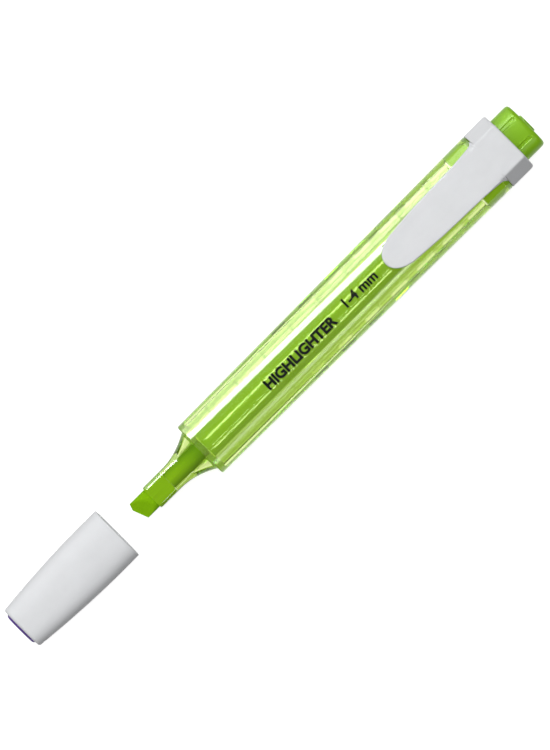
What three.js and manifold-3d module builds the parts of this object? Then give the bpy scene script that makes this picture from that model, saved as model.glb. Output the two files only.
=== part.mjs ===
// A pocket highlighter: a flat, see-through green barrel with a clip at the tail and a pull-off cap,
// lying on its back with the cap pulled off ahead of the writing tip. Millimetres, +Z up.
//
// Inside the pen's own group X runs along the axis, from the cap towards the tail, with x = 0 at the
// barrel's front face, where the closed cap meets it. Y runs across and Z goes up through the clip.

import * as THREE from "three";
import { mergeVertices } from "three/addons/utils/BufferGeometryUtils.js";
import Module from "manifold-3d";

const wasm = await Module();
wasm.setup();

// ---- Driving dimensions ----

const BODY_THICKNESS = 11.2; // barrel and collar, back to front
const BARREL_FRONT_WIDTH = 14.1;
const BARREL_TAIL_WIDTH = 15.35;
const BARREL_LENGTH = 88.6; // front face to the collar
const BARREL_WALL = 1.3;
const NECK_END = 93.9; // the stepped-down tail that carries the collar
const COLLAR_WALL = 1.1;
const NECK_WALL = 0.9;
const TAIL_END = 100.25; // flat end of the plug's head
const BOSS_END = 100.7; // the low boss on it

const NIB_TIP = -19.6; // the furthest point of the writing edge
const NIB_WIDTH = 5.0;
const NIB_THICKNESS = 3.8;
const NOSE_FRONT = -14.7;
const NOSE_BACK = -8.5; // where the nose widens into the trumpet
const NOSE_WIDTH = 6.0;
const NOSE_THICKNESS = 5.2;
const TRUMPET_WIDTH = 11.2;
const TRUMPET_THICKNESS = 8.3;

const CAP_LENGTH = 29.3;
const CAP_GAP_TO_BARREL = 25.4; // how far off the cap stands when it is pulled
const CAP_WIDTH = 13.5;
const CAP_THICKNESS = 10.6;
const CAP_WALL = 0.85;
const CAP_INSERT_PROUD = 0.55; // the coloured insert stands this far out of the cap's end

const CLIP_TIP = 57.0;
const CLIP_RISE = 2.1; // the clip's face above the barrel's front
const CLIP_THICKNESS = 1.45;
const RESERVOIR_RADIUS = 3.1;
const FILM_OUTER_RADIUS = 3.4;
const FILM_THICKNESS = 0.2;

const FIT_GAP = 0.15; // between pieces that sit inside one another
const FACE_GAP = 0.3; // between faces that meet end to end
const THROUGH = 1; // how far a cutting shape runs past the face it opens
const ARC_STEPS = 4; // of each quarter of a rounded section: three.js doubles it on an ellipse
const ROUND_STEPS = 36; // around a turned piece

// ---- Materials ----

const plastic = (color, roughness) => new THREE.MeshStandardMaterial({ color, roughness, metalness: 0 });

const clearGreen = new THREE.MeshStandardMaterial({
  color: 0x9ccb4e,
  roughness: 0.12,
  metalness: 0,
  transparent: true,
  opacity: 0.55,
});
const clearFilm = new THREE.MeshStandardMaterial({
  color: 0xb8de7a,
  roughness: 0.2,
  metalness: 0,
  transparent: true,
  opacity: 0.6,
});
const inkGreen = plastic(0x7aac18, 0.85);
const solidGreen = plastic(0x7cb01c, 0.35);
const paleGrey = plastic(0xdddfe2, 0.45);
const sealWhite = plastic(0xeceef0, 0.6);
const violet = plastic(0x5d4694, 0.4);

// ---- Shaping helpers ----

// A rounded rectangle that fills the square from -1 to 1. Each corner is a quarter ellipse that takes the
// given shares of the half width and the half thickness.
function roundedSection(widthShare, thicknessShare) {
  const flatY = 1 - widthShare;
  const flatZ = 1 - thicknessShare;
  const quarter = Math.PI / 2;
  const shape = new THREE.Shape();
  shape.moveTo(flatY, -1);
  shape.absellipse(flatY, -flatZ, widthShare, thicknessShare, -quarter, 0);
  shape.absellipse(flatY, flatZ, widthShare, thicknessShare, 0, quarter);
  shape.absellipse(-flatY, flatZ, widthShare, thicknessShare, quarter, 2 * quarter);
  shape.absellipse(-flatY, -flatZ, widthShare, thicknessShare, 2 * quarter, 3 * quarter);
  shape.closePath();
  return shape;
}

const BODY_SECTION = roundedSection(0.52, 0.72); // flat front and back, well-rounded sides
const OVAL_SECTION = roundedSection(0.98, 0.98);
const SOFT_SECTION = roundedSection(0.7, 0.8);

// A station of a loft: where it lies along X, and how wide and thick the section is there.
const at = (x, width, thickness) => ({ x, width, thickness });

// Sweeps a section along X through its stations, one extrusion step between each two, and scales it to
// each station's width and thickness.
function loft(section, stations) {
  const steps = stations.length - 1;
  const options = { depth: steps, steps, bevelEnabled: false, curveSegments: ARC_STEPS };
  const geometry = new THREE.ExtrudeGeometry(section, options);
  const points = geometry.attributes.position;
  for (let i = 0; i < points.count; i++) {
    const { x, width, thickness } = stations[Math.round(points.getZ(i))];
    points.setXYZ(i, x, (points.getX(i) * width) / 2, (points.getY(i) * thickness) / 2);
  }
  return solid(geometry);
}

// A turned piece about X, from [x, radius] points that start and end on the axis.
function turned(profile) {
  const points = profile.map(([x, radius]) => new THREE.Vector2(radius, x));
  const geometry = new THREE.LatheGeometry(points, ROUND_STEPS);
  geometry.rotateZ(-Math.PI / 2); // the lathe's own axis is Y
  return solid(geometry);
}

const rod = (from, to, radius) =>
  turned([
    [from, 0],
    [from, radius],
    [to, radius],
    [to, 0],
  ]);

function box(lowX, highX, lowY, highY, lowZ, highZ) {
  const geometry = new THREE.BoxGeometry(highX - lowX, highY - lowY, highZ - lowZ);
  geometry.translate((lowX + highX) / 2, (lowY + highY) / 2, (lowZ + highZ) / 2);
  return solid(geometry);
}

// Extrudes an outline drawn in the XY plane upwards from lowZ.
function plate(outline, lowZ, thickness) {
  const options = { depth: thickness, bevelEnabled: false, curveSegments: ARC_STEPS };
  return solid(new THREE.ExtrudeGeometry(outline, options).translate(0, 0, lowZ));
}

// three.js geometry to a manifold-3d solid: only positions are kept, and shared corners are merged.
function solid(geometry) {
  const bare = geometry.clone();
  bare.deleteAttribute("normal");
  bare.deleteAttribute("uv");
  const merged = mergeVertices(bare, 1e-4);
  const vertProperties = merged.attributes.position.array;
  const triVerts = new Uint32Array(merged.index.array);
  return new wasm.Manifold(new wasm.Mesh({ numProp: 3, vertProperties, triVerts }));
}

function piece(name, shape, material) {
  const { vertProperties, triVerts, numProp } = shape.getMesh();
  const positions = new Float32Array((vertProperties.length / numProp) * 3);
  for (let i = 0; i < positions.length / 3; i++) {
    positions.set(vertProperties.subarray(i * numProp, i * numProp + 3), i * 3);
  }
  const geometry = new THREE.BufferGeometry();
  geometry.setAttribute("position", new THREE.BufferAttribute(positions, 3));
  geometry.setIndex(new THREE.BufferAttribute(new Uint32Array(triVerts), 1));
  geometry.computeVertexNormals();
  const mesh = new THREE.Mesh(geometry, material);
  mesh.name = name;
  return mesh;
}

// ---- The body's widths along its length ----

const bodyWidth = (x) =>
  BARREL_FRONT_WIDTH + ((BARREL_TAIL_WIDTH - BARREL_FRONT_WIDTH) * x) / BARREL_LENGTH;

const neckWidth = BARREL_TAIL_WIDTH - 2 * COLLAR_WALL;
const neckThickness = BODY_THICKNESS - 2 * COLLAR_WALL;
const cavityThickness = BODY_THICKNESS - 2 * BARREL_WALL;

// ---- Barrel ----

const SHOULDER_ROUND = 0.35;
const CAVITY_STEP = BARREL_LENGTH - 1.2; // where the cavity narrows into the neck
const RIB_WIDTH = 0.3;
const RIB_CLEARANCE = 0.12; // between a rib and the reservoir's film
const RIB_FRONT = 6;
const RIB_TAIL = 80;
const RIB_PLACES = [0.85, -1.84]; // across the front wall; the back wall has them mirrored
const SIDE_FIN_THICKNESS = 0.5;

function barrel() {
  const edgeStep = 0.5 * SHOULDER_ROUND;
  const outside = loft(BODY_SECTION, [
    at(0, BARREL_FRONT_WIDTH - 2 * SHOULDER_ROUND, BODY_THICKNESS - 2 * SHOULDER_ROUND),
    at(0.3 * SHOULDER_ROUND, BARREL_FRONT_WIDTH - edgeStep, BODY_THICKNESS - edgeStep),
    at(SHOULDER_ROUND, bodyWidth(SHOULDER_ROUND), BODY_THICKNESS),
    at(BARREL_LENGTH, BARREL_TAIL_WIDTH, BODY_THICKNESS),
  ]);
  const neck = loft(BODY_SECTION, [
    at(BARREL_LENGTH - THROUGH, neckWidth, neckThickness),
    at(NECK_END, neckWidth, neckThickness),
  ]);
  const cavity = loft(BODY_SECTION, [
    at(-THROUGH, bodyWidth(0) - 2 * BARREL_WALL, cavityThickness),
    at(0, bodyWidth(0) - 2 * BARREL_WALL, cavityThickness),
    at(CAVITY_STEP, bodyWidth(CAVITY_STEP) - 2 * BARREL_WALL, cavityThickness),
    at(BARREL_LENGTH, neckWidth - 2 * NECK_WALL, neckThickness - 2 * NECK_WALL),
    at(NECK_END + THROUGH, neckWidth - 2 * NECK_WALL, neckThickness - 2 * NECK_WALL),
  ]);
  return outside.add(neck).subtract(cavity).add(barrelRibs());
}

// Long ribs inside the barrel that hold the round reservoir in the middle of the oval cavity: two on the
// front wall, two on the back wall and one fin on each side.
function barrelRibs() {
  const wallInside = cavityThickness / 2 + BARREL_WALL / 2;
  const reach = FILM_OUTER_RADIUS + RIB_CLEARANCE;
  let ribs = null;
  const add = (rib) => {
    ribs = ribs ? ribs.add(rib) : rib;
  };
  for (const y of RIB_PLACES) {
    const edge = Math.abs(y) - RIB_WIDTH / 2;
    const bottom = Math.sqrt(reach ** 2 - edge ** 2);
    add(box(RIB_FRONT, RIB_TAIL, y - RIB_WIDTH / 2, y + RIB_WIDTH / 2, bottom, wallInside));
    add(box(RIB_FRONT, RIB_TAIL, -y - RIB_WIDTH / 2, -y + RIB_WIDTH / 2, -wallInside, -bottom));
  }
  const finReach = bodyWidth(0) / 2 - BARREL_WALL / 2;
  const half = SIDE_FIN_THICKNESS / 2;
  add(box(RIB_FRONT, RIB_TAIL, reach, finReach, -half, half));
  add(box(RIB_FRONT, RIB_TAIL, -finReach, -reach, -half, half));
  return ribs;
}

// ---- Nib holder: nose, trumpet and the plug that sits in the barrel ----

const HOLDER_PLUG_END = 5.0;
const TRUMPET_STEPS = 7;
const TRUMPET_POWER = 1.9; // how late the trumpet flares
const TRUMPET_WALL = 1.0;
const INNER_TUBE_RADIUS = 2.6;
const NIB_TAIL_RADIUS = 1.75;
const NIB_STEP = -9.6; // where the nib's flat part ends and its round tail begins
const RESERVOIR_SEAT = 0.9; // front of the pocket that the reservoir's end fills

// Width and thickness of the trumpet at x, a concave flare from the nose to the barrel.
function trumpetAt(x, inset = 0) {
  const share = (x - NOSE_BACK) / (0 - NOSE_BACK);
  const flare = share ** TRUMPET_POWER;
  return at(
    x,
    NOSE_WIDTH + (TRUMPET_WIDTH - NOSE_WIDTH) * flare - 2 * inset,
    NOSE_THICKNESS + (TRUMPET_THICKNESS - NOSE_THICKNESS) * flare - 2 * inset,
  );
}

function nibHolder() {
  const flare = [];
  for (let i = 0; i <= TRUMPET_STEPS; i++) flare.push(trumpetAt(NOSE_BACK * (1 - i / TRUMPET_STEPS)));
  const outside = loft(SOFT_SECTION, [
    at(NOSE_FRONT, NOSE_WIDTH - 1.2, NOSE_THICKNESS - 1.2),
    at(NOSE_FRONT + 0.25, NOSE_WIDTH - 0.5, NOSE_THICKNESS - 0.5),
    at(NOSE_FRONT + 0.8, NOSE_WIDTH, NOSE_THICKNESS),
    ...flare,
  ]);
  const plug = loft(BODY_SECTION, [
    at(0, TRUMPET_WIDTH, TRUMPET_THICKNESS),
    at(HOLDER_PLUG_END, TRUMPET_WIDTH, TRUMPET_THICKNESS),
  ]);
  const nibSlot = loft(OVAL_SECTION, [
    at(NOSE_FRONT - THROUGH, NIB_WIDTH + FIT_GAP, NIB_THICKNESS + FIT_GAP),
    at(NIB_STEP + FIT_GAP, NIB_WIDTH + FIT_GAP, NIB_THICKNESS + FIT_GAP),
  ]);
  const tailHole = rod(NIB_STEP - THROUGH, HOLDER_PLUG_END + THROUGH, NIB_TAIL_RADIUS + FIT_GAP);
  const seat = rod(RESERVOIR_SEAT, HOLDER_PLUG_END + THROUGH, FILM_OUTER_RADIUS + FIT_GAP);
  return outside.add(plug).subtract(trumpetPocket()).subtract(nibSlot).subtract(tailHole).subtract(seat);
}

// The hollow between the trumpet's thin wall and the tube that carries the nib's tail.
function trumpetPocket() {
  const stations = [];
  const front = -4.6;
  for (let i = 0; i <= 3; i++) stations.push(trumpetAt(front * (1 - i / 3), TRUMPET_WALL));
  const end = stations[3];
  stations.push(at(RESERVOIR_SEAT + 0.2, end.width, end.thickness - 0.4));
  const innerTube = rod(front - THROUGH, RESERVOIR_SEAT + THROUGH, INNER_TUBE_RADIUS);
  return loft(SOFT_SECTION, stations).subtract(innerTube);
}

// ---- Nib: an oval felt rod cut to a slanted chisel, with a round tail ----

const CHISEL_ANGLE = THREE.MathUtils.degToRad(30); // of each flank from the axis
const EDGE_SLANT = THREE.MathUtils.degToRad(21); // of the writing edge from square
const EDGE_CORNER_Y = 1.03; // the furthest corner of the writing edge
const CORNER_SLANT = THREE.MathUtils.degToRad(19); // of the small cut beyond that corner
const NIB_TAIL_END = 9.0;

function nib() {
  const body = loft(OVAL_SECTION, [
    at(NIB_TIP - THROUGH, NIB_WIDTH, NIB_THICKNESS),
    at(NIB_STEP, NIB_WIDTH, NIB_THICKNESS),
  ]);
  const tail = rod(NIB_STEP - THROUGH, NIB_TAIL_END, NIB_TAIL_RADIUS);
  return body.intersect(chiselWedge()).subtract(cornerCut()).add(tail);
}

// A wedge whose sharp edge is the writing edge, slanted across the nib.
function chiselWedge() {
  const length = 2 * (NIB_STEP - NIB_TIP);
  const rise = length * Math.tan(CHISEL_ANGLE);
  const flanks = new THREE.Shape([
    new THREE.Vector2(0, 0),
    new THREE.Vector2(length, -rise),
    new THREE.Vector2(length, rise),
  ]);
  const reach = 4 * NIB_WIDTH;
  const geometry = new THREE.ExtrudeGeometry(flanks, { depth: reach, bevelEnabled: false });
  geometry.translate(0, 0, -reach / 2);
  geometry.rotateX(Math.PI / 2);
  geometry.rotateZ(EDGE_SLANT);
  geometry.translate(NIB_TIP, EDGE_CORNER_Y, 0);
  return solid(geometry);
}

function cornerCut() {
  const side = 2 * NIB_WIDTH;
  const geometry = new THREE.BoxGeometry(side, side, side);
  geometry.translate(-side / 2, 0, 0);
  geometry.rotateZ(-CORNER_SLANT);
  geometry.translate(NIB_TIP, EDGE_CORNER_Y, 0);
  return solid(geometry);
}

// ---- Ink reservoir and its film ----

const RESERVOIR_FRONT = 1.5;
const RESERVOIR_END = 79.5;
const NIB_POCKET_END = 9.4; // the nib's tail presses into the fibre as far as this
const SEAM_FROM_Y = -1.6; // the film's welded overlap, a low strip along the front
const SEAM_TO_Y = -1.1;
const SEAM_HEIGHT = 0.1;

function inkReservoir() {
  const hole = NIB_TAIL_RADIUS + FIT_GAP;
  return turned([
    [NIB_POCKET_END, 0],
    [NIB_POCKET_END, hole],
    [RESERVOIR_FRONT, hole],
    [RESERVOIR_FRONT, RESERVOIR_RADIUS],
    [RESERVOIR_END, RESERVOIR_RADIUS],
    [RESERVOIR_END, 0],
  ]);
}

function reservoirFilm() {
  const front = RESERVOIR_FRONT - 0.2;
  const end = RESERVOIR_END + 0.5;
  const tube = rod(front, end, FILM_OUTER_RADIUS);
  const raised = FILM_OUTER_RADIUS + SEAM_HEIGHT;
  const strip = box(RIB_FRONT, end, SEAM_FROM_Y, SEAM_TO_Y, 0, raised).intersect(rod(RIB_FRONT, end, raised));
  return tube.add(strip).subtract(rod(front - THROUGH, end + THROUGH, FILM_OUTER_RADIUS - FILM_THICKNESS));
}

// ---- End plug ----

const SKIRT_FRONT = 82.1;
const SKIRT_WALL = 1.0;
const HEAD_WIDTH = 11.8;
const HEAD_THICKNESS = 8.6;
const HEAD_START = NECK_END + FIT_GAP;
const HEAD_FLOOR = 97.2; // bottom of the hollow inside the head
const FACET_GROOVE_Y = 2.7;
const FACET_GROOVE_DEPTH = 0.22;
const BOSS_WIDTH = 4.6;
const BOSS_THICKNESS = 3.6;

function endPlug() {
  const skirtWidth = neckWidth - 2 * NECK_WALL - 2 * FIT_GAP;
  const skirtThickness = neckThickness - 2 * NECK_WALL - 2 * FIT_GAP;
  const skirt = loft(BODY_SECTION, [
    at(SKIRT_FRONT, skirtWidth - 0.4, skirtThickness - 0.4),
    at(SKIRT_FRONT + 0.5, skirtWidth, skirtThickness),
    at(HEAD_START + THROUGH, skirtWidth, skirtThickness),
  ]);
  const head = loft(BODY_SECTION, [
    at(HEAD_START, HEAD_WIDTH, HEAD_THICKNESS),
    at(TAIL_END - 1.1, HEAD_WIDTH, HEAD_THICKNESS),
    at(TAIL_END - 0.4, HEAD_WIDTH - 0.6, HEAD_THICKNESS - 0.6),
    at(TAIL_END - 0.1, HEAD_WIDTH - 1.4, HEAD_THICKNESS - 1.4),
    at(TAIL_END, HEAD_WIDTH - 2.4, HEAD_THICKNESS - 2.4),
  ]);
  const boss = loft(SOFT_SECTION, [
    at(TAIL_END - THROUGH, BOSS_WIDTH, BOSS_THICKNESS),
    at(BOSS_END, BOSS_WIDTH, BOSS_THICKNESS),
  ]);
  const hollow = loft(BODY_SECTION, [
    at(SKIRT_FRONT - THROUGH, skirtWidth - 2 * SKIRT_WALL, skirtThickness - 2 * SKIRT_WALL),
    at(HEAD_FLOOR, skirtWidth - 2 * SKIRT_WALL, skirtThickness - 2 * SKIRT_WALL),
  ]);
  let plug = skirt.add(head).add(boss).subtract(hollow);
  for (const y of [-FACET_GROOVE_Y, FACET_GROOVE_Y]) {
    for (const side of [-1, 1]) plug = plug.subtract(facetGroove(y, side));
  }
  return plug;
}

// A shallow square-cut groove along the front (side 1) or back (side -1) of the head.
function facetGroove(y, side) {
  const floor = HEAD_THICKNESS / 2 - FACET_GROOVE_DEPTH;
  const [low, high] = side > 0 ? [floor, floor + THROUGH] : [-floor - THROUGH, -floor];
  return box(HEAD_START + 0.4, TAIL_END - 0.9, y - 0.2, y + 0.2, low, high);
}

// ---- Clip: the collar around the neck and the tongue over the barrel ----

const COLLAR_FRONT = BARREL_LENGTH + FIT_GAP;
const COLLAR_END = 94.95;
const FACE_HALF_WIDTH = 4.75; // the clip's flat face
const FACE_TOP = BODY_THICKNESS / 2 + CLIP_RISE;
const FACET_FOOT_Z = 0.8; // where the collar's slanted sides meet the body's section
const LIP_START = NECK_END + FIT_GAP;

function clipCollar() {
  const ring = loft(BODY_SECTION, [
    at(COLLAR_FRONT, BARREL_TAIL_WIDTH, BODY_THICKNESS),
    at(COLLAR_END - 0.5, BARREL_TAIL_WIDTH, BODY_THICKNESS),
    at(COLLAR_END - 0.15, BARREL_TAIL_WIDTH - 0.3, BODY_THICKNESS - 0.3),
    at(COLLAR_END, BARREL_TAIL_WIDTH - 0.8, BODY_THICKNESS - 0.8),
  ]);
  const bore = loft(BODY_SECTION, [
    at(COLLAR_FRONT - THROUGH, neckWidth + 2 * FIT_GAP, neckThickness + 2 * FIT_GAP),
    at(LIP_START, neckWidth + 2 * FIT_GAP, neckThickness + 2 * FIT_GAP),
  ]);
  const lipOpening = loft(BODY_SECTION, [
    at(LIP_START - THROUGH, HEAD_WIDTH + 2 * FIT_GAP, HEAD_THICKNESS + 2 * FIT_GAP),
    at(COLLAR_END + THROUGH, HEAD_WIDTH + 2 * FIT_GAP, HEAD_THICKNESS + 2 * FIT_GAP),
  ]);
  return ring.add(saddle()).subtract(bore).subtract(lipOpening);
}

// The collar's raised front: a flat face between two slanted facets.
function saddle() {
  const half = BARREL_TAIL_WIDTH / 2;
  const corner = 0.5;
  const outline = new THREE.Shape();
  outline.moveTo(half - 0.02, FACET_FOOT_Z);
  outline.quadraticCurveTo(half, FACET_FOOT_Z + 2.2, half - 0.7, FACET_FOOT_Z + 3.0);
  outline.lineTo(FACE_HALF_WIDTH + corner, FACE_TOP - corner);
  outline.quadraticCurveTo(FACE_HALF_WIDTH, FACE_TOP, FACE_HALF_WIDTH - corner, FACE_TOP);
  outline.lineTo(-FACE_HALF_WIDTH + corner, FACE_TOP);
  outline.quadraticCurveTo(-FACE_HALF_WIDTH, FACE_TOP, -FACE_HALF_WIDTH - corner, FACE_TOP - corner);
  outline.lineTo(-half + 0.7, FACET_FOOT_Z + 3.0);
  outline.quadraticCurveTo(-half, FACET_FOOT_Z + 2.2, -half + 0.02, FACET_FOOT_Z);
  outline.closePath();
  const stations = [at(COLLAR_FRONT, 2, 2), at(COLLAR_END - 0.4, 2, 2), at(COLLAR_END, 1.94, 1.94)];
  return loft(outline, stations);
}

const TONGUE_ROOT = COLLAR_FRONT - FACE_GAP;
const TONGUE_ROOT_HALF = 5.4;
const TONGUE_WAIST_HALF = 4.65;
const TONGUE_WAIST_X = 78;
const TONGUE_TIP_HALF = 3.55;
const TONGUE_TIP_X = 61.2; // where the rounded end begins
const BUMP_FROM_X = 59.2; // the low bump under the tip that grips the cloth
const BUMP_TO_X = 63.4;
const BUMP_HALF_WIDTH = 1.6;

function clipTongue() {
  const tipCornerX = CLIP_TIP + 1.4;
  const tipCornerY = TONGUE_TIP_HALF - 0.7;
  const outline = new THREE.Shape();
  outline.moveTo(TONGUE_ROOT, -TONGUE_ROOT_HALF);
  outline.lineTo(TONGUE_ROOT, TONGUE_ROOT_HALF);
  outline.quadraticCurveTo(TONGUE_ROOT - 4, TONGUE_WAIST_HALF + 0.1, TONGUE_WAIST_X, TONGUE_WAIST_HALF);
  outline.quadraticCurveTo(TONGUE_TIP_X + 7, TONGUE_WAIST_HALF - 0.2, TONGUE_TIP_X, TONGUE_TIP_HALF);
  outline.bezierCurveTo(tipCornerX, tipCornerY, CLIP_TIP, 1.9, CLIP_TIP, 0);
  outline.bezierCurveTo(CLIP_TIP, -1.9, tipCornerX, -tipCornerY, TONGUE_TIP_X, -TONGUE_TIP_HALF);
  outline.quadraticCurveTo(TONGUE_TIP_X + 7, -TONGUE_WAIST_HALF + 0.2, TONGUE_WAIST_X, -TONGUE_WAIST_HALF);
  outline.quadraticCurveTo(TONGUE_ROOT - 4, -TONGUE_WAIST_HALF - 0.1, TONGUE_ROOT, -TONGUE_ROOT_HALF);
  const strip = plate(outline, FACE_TOP - CLIP_THICKNESS, CLIP_THICKNESS);
  const bumpBottom = BODY_THICKNESS / 2 + FACE_GAP;
  const bumpTop = FACE_TOP - CLIP_THICKNESS / 2;
  const bump = box(BUMP_FROM_X, BUMP_TO_X, -BUMP_HALF_WIDTH, BUMP_HALF_WIDTH, bumpBottom, bumpTop);
  return strip.add(bump);
}

// ---- Cap: shell, inner seal and coloured end insert ----

const CAP_MOUTH = -CAP_GAP_TO_BARREL;
const CAP_END = CAP_MOUTH - CAP_LENGTH;
const CAP_STRAIGHT = 6.5; // from the mouth, before the taper starts
const CAP_TAPER_POWER = 1.7;
const CAP_END_NARROWING = 2.65; // of the width, over the whole taper
const CAP_END_THINNING = 1.5;
const CAP_STEPS = 7;
const CAP_END_WALL = 1.3;
const SEAL_WIDTH = 7.8;
const SEAL_THICKNESS = 6.9;
const SEAL_WALL = 0.55;
const SEAL_MOUTH = CAP_MOUTH - 8.8;
const SEAL_FLOOR = CAP_MOUTH - 22.2;
const INSERT_WIDTH = 8.4;
const INSERT_THICKNESS = 5.2;
const STEM_RADIUS = 1.7;
const STEM_END = CAP_END + 5.2;

// Width and thickness of the cap at x. It is straight at the mouth and curves in towards its closed end.
function capAt(x, inset = 0) {
  const share = Math.max(0, (CAP_MOUTH - CAP_STRAIGHT - x) / (CAP_LENGTH - CAP_STRAIGHT));
  const taper = share ** CAP_TAPER_POWER;
  return at(
    x,
    CAP_WIDTH - CAP_END_NARROWING * taper - 2 * inset,
    CAP_THICKNESS - CAP_END_THINNING * taper - 2 * inset,
  );
}

function capShell() {
  const taper = [];
  for (let i = 0; i <= CAP_STEPS; i++) {
    taper.push(CAP_END + 0.5 + (CAP_LENGTH - CAP_STRAIGHT - 0.5) * (i / CAP_STEPS));
  }
  const outside = loft(BODY_SECTION, [
    capAt(CAP_END, 0.55),
    capAt(CAP_END + 0.15, 0.2),
    ...taper.map((x) => capAt(x)),
    capAt(CAP_MOUTH - 0.3),
    capAt(CAP_MOUTH, 0.25),
  ]);
  const floor = CAP_END + CAP_END_WALL;
  const cavity = loft(BODY_SECTION, [
    capAt(floor, CAP_WALL),
    ...taper.slice(1).map((x) => capAt(x, CAP_WALL)),
    capAt(CAP_MOUTH + THROUGH, CAP_WALL),
  ]);
  const recess = loft(OVAL_SECTION, [
    at(CAP_END - THROUGH, INSERT_WIDTH + 2 * FIT_GAP, INSERT_THICKNESS + 2 * FIT_GAP),
    at(CAP_END + 0.4 + FIT_GAP, INSERT_WIDTH + 2 * FIT_GAP, INSERT_THICKNESS + 2 * FIT_GAP),
  ]);
  const stemHole = rod(CAP_END - THROUGH, floor + THROUGH, STEM_RADIUS + FIT_GAP);
  return outside.subtract(cavity).subtract(recess).subtract(stemHole);
}

// The cup that closes around the nose when the cap is on, held against the cap's end by the insert's stem.
function capInnerSeal() {
  const back = CAP_END + CAP_END_WALL + FIT_GAP;
  const outside = loft(SOFT_SECTION, [
    at(back, SEAL_WIDTH, SEAL_THICKNESS),
    at(SEAL_MOUTH, SEAL_WIDTH, SEAL_THICKNESS),
  ]);
  const cup = loft(SOFT_SECTION, [
    at(SEAL_FLOOR, SEAL_WIDTH - 2 * SEAL_WALL, SEAL_THICKNESS - 2 * SEAL_WALL),
    at(SEAL_MOUTH - 0.5, SEAL_WIDTH - 2 * SEAL_WALL, SEAL_THICKNESS - 2 * SEAL_WALL),
    at(SEAL_MOUTH + THROUGH, SEAL_WIDTH - SEAL_WALL, SEAL_THICKNESS - SEAL_WALL),
  ]);
  return outside.subtract(cup).subtract(rod(back - THROUGH, STEM_END + FIT_GAP, STEM_RADIUS + FIT_GAP));
}

function capEndInsert() {
  const face = CAP_END - CAP_INSERT_PROUD;
  const head = loft(OVAL_SECTION, [
    at(face, INSERT_WIDTH - 1.6, INSERT_THICKNESS - 1.2),
    at(face + 0.15, INSERT_WIDTH - 0.5, INSERT_THICKNESS - 0.4),
    at(face + 0.35, INSERT_WIDTH, INSERT_THICKNESS),
    at(CAP_END + 0.4, INSERT_WIDTH, INSERT_THICKNESS),
  ]);
  return head.add(rod(CAP_END, STEM_END, STEM_RADIUS));
}

// ---- Assembly ----

const cap = new THREE.Group();
cap.add(
  piece("cap_shell", capShell(), paleGrey),
  piece("cap_inner_seal", capInnerSeal(), sealWhite),
  piece("cap_end_insert", capEndInsert(), violet),
);

const clip = new THREE.Group();
clip.add(piece("clip_collar", clipCollar(), paleGrey), piece("clip_tongue", clipTongue(), paleGrey));

const pen = new THREE.Group();
pen.add(
  piece("barrel", barrel(), clearGreen),
  piece("nib_holder", nibHolder(), clearGreen),
  piece("nib", nib(), inkGreen),
  piece("ink_reservoir", inkReservoir(), inkGreen),
  piece("reservoir_film", reservoirFilm(), clearFilm),
  piece("end_plug", endPlug(), solidGreen),
  clip,
  cap,
);
// The origin is on the surface that the pen lies on, under the middle of its length with the cap off.
pen.position.set(-(BOSS_END + CAP_END - CAP_INSERT_PROUD) / 2, 0, BODY_THICKNESS / 2);

const highlighter = new THREE.Group();
highlighter.add(pen);

export default highlighter;
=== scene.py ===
"""A pocket highlighter: a see-through green barrel with a clip at its tail and its cap pulled off.

The CAD model gives every place and size. Each visible piece is a smooth surface worked out with numpy
around it, in millimetres along the pen's own axis: x runs from the barrel's front face towards the tail,
y across the pen and z up through the clip. PenAxis.place turns those into the model's metres.
"""

from __future__ import annotations

import logging
import math
from dataclasses import dataclass
from enum import Enum

import bpy
import numpy as np
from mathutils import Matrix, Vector
from numpy.typing import NDArray


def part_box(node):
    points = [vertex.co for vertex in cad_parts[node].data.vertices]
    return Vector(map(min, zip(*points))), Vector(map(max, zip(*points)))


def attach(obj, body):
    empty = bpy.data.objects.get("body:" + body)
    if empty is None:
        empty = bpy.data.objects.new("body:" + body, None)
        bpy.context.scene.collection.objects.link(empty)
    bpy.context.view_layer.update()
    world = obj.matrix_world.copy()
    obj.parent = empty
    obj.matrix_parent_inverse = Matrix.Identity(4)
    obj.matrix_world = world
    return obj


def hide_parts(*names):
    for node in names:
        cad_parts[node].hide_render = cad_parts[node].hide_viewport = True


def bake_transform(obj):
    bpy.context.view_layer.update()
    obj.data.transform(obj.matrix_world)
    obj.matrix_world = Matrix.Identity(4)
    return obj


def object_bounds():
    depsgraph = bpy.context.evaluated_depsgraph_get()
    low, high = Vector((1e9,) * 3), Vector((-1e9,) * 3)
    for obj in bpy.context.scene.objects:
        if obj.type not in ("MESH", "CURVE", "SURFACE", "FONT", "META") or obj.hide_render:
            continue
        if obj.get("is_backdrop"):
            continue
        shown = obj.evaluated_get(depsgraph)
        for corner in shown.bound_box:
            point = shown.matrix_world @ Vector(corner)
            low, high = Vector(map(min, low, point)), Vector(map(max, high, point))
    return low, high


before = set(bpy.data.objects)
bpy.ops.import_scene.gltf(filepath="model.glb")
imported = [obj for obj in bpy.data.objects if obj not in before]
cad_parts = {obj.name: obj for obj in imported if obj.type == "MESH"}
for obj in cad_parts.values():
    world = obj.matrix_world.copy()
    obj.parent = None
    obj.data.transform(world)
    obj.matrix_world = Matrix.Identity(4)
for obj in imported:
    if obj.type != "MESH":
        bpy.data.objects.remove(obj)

LOG = logging.getLogger("highlighter")
MM = 0.001
Triple = tuple[float, float, float]
Colour = Triple
Floats = NDArray[np.float64]
Ints = NDArray[np.int64]


# ---- The pen's axis ----


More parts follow.
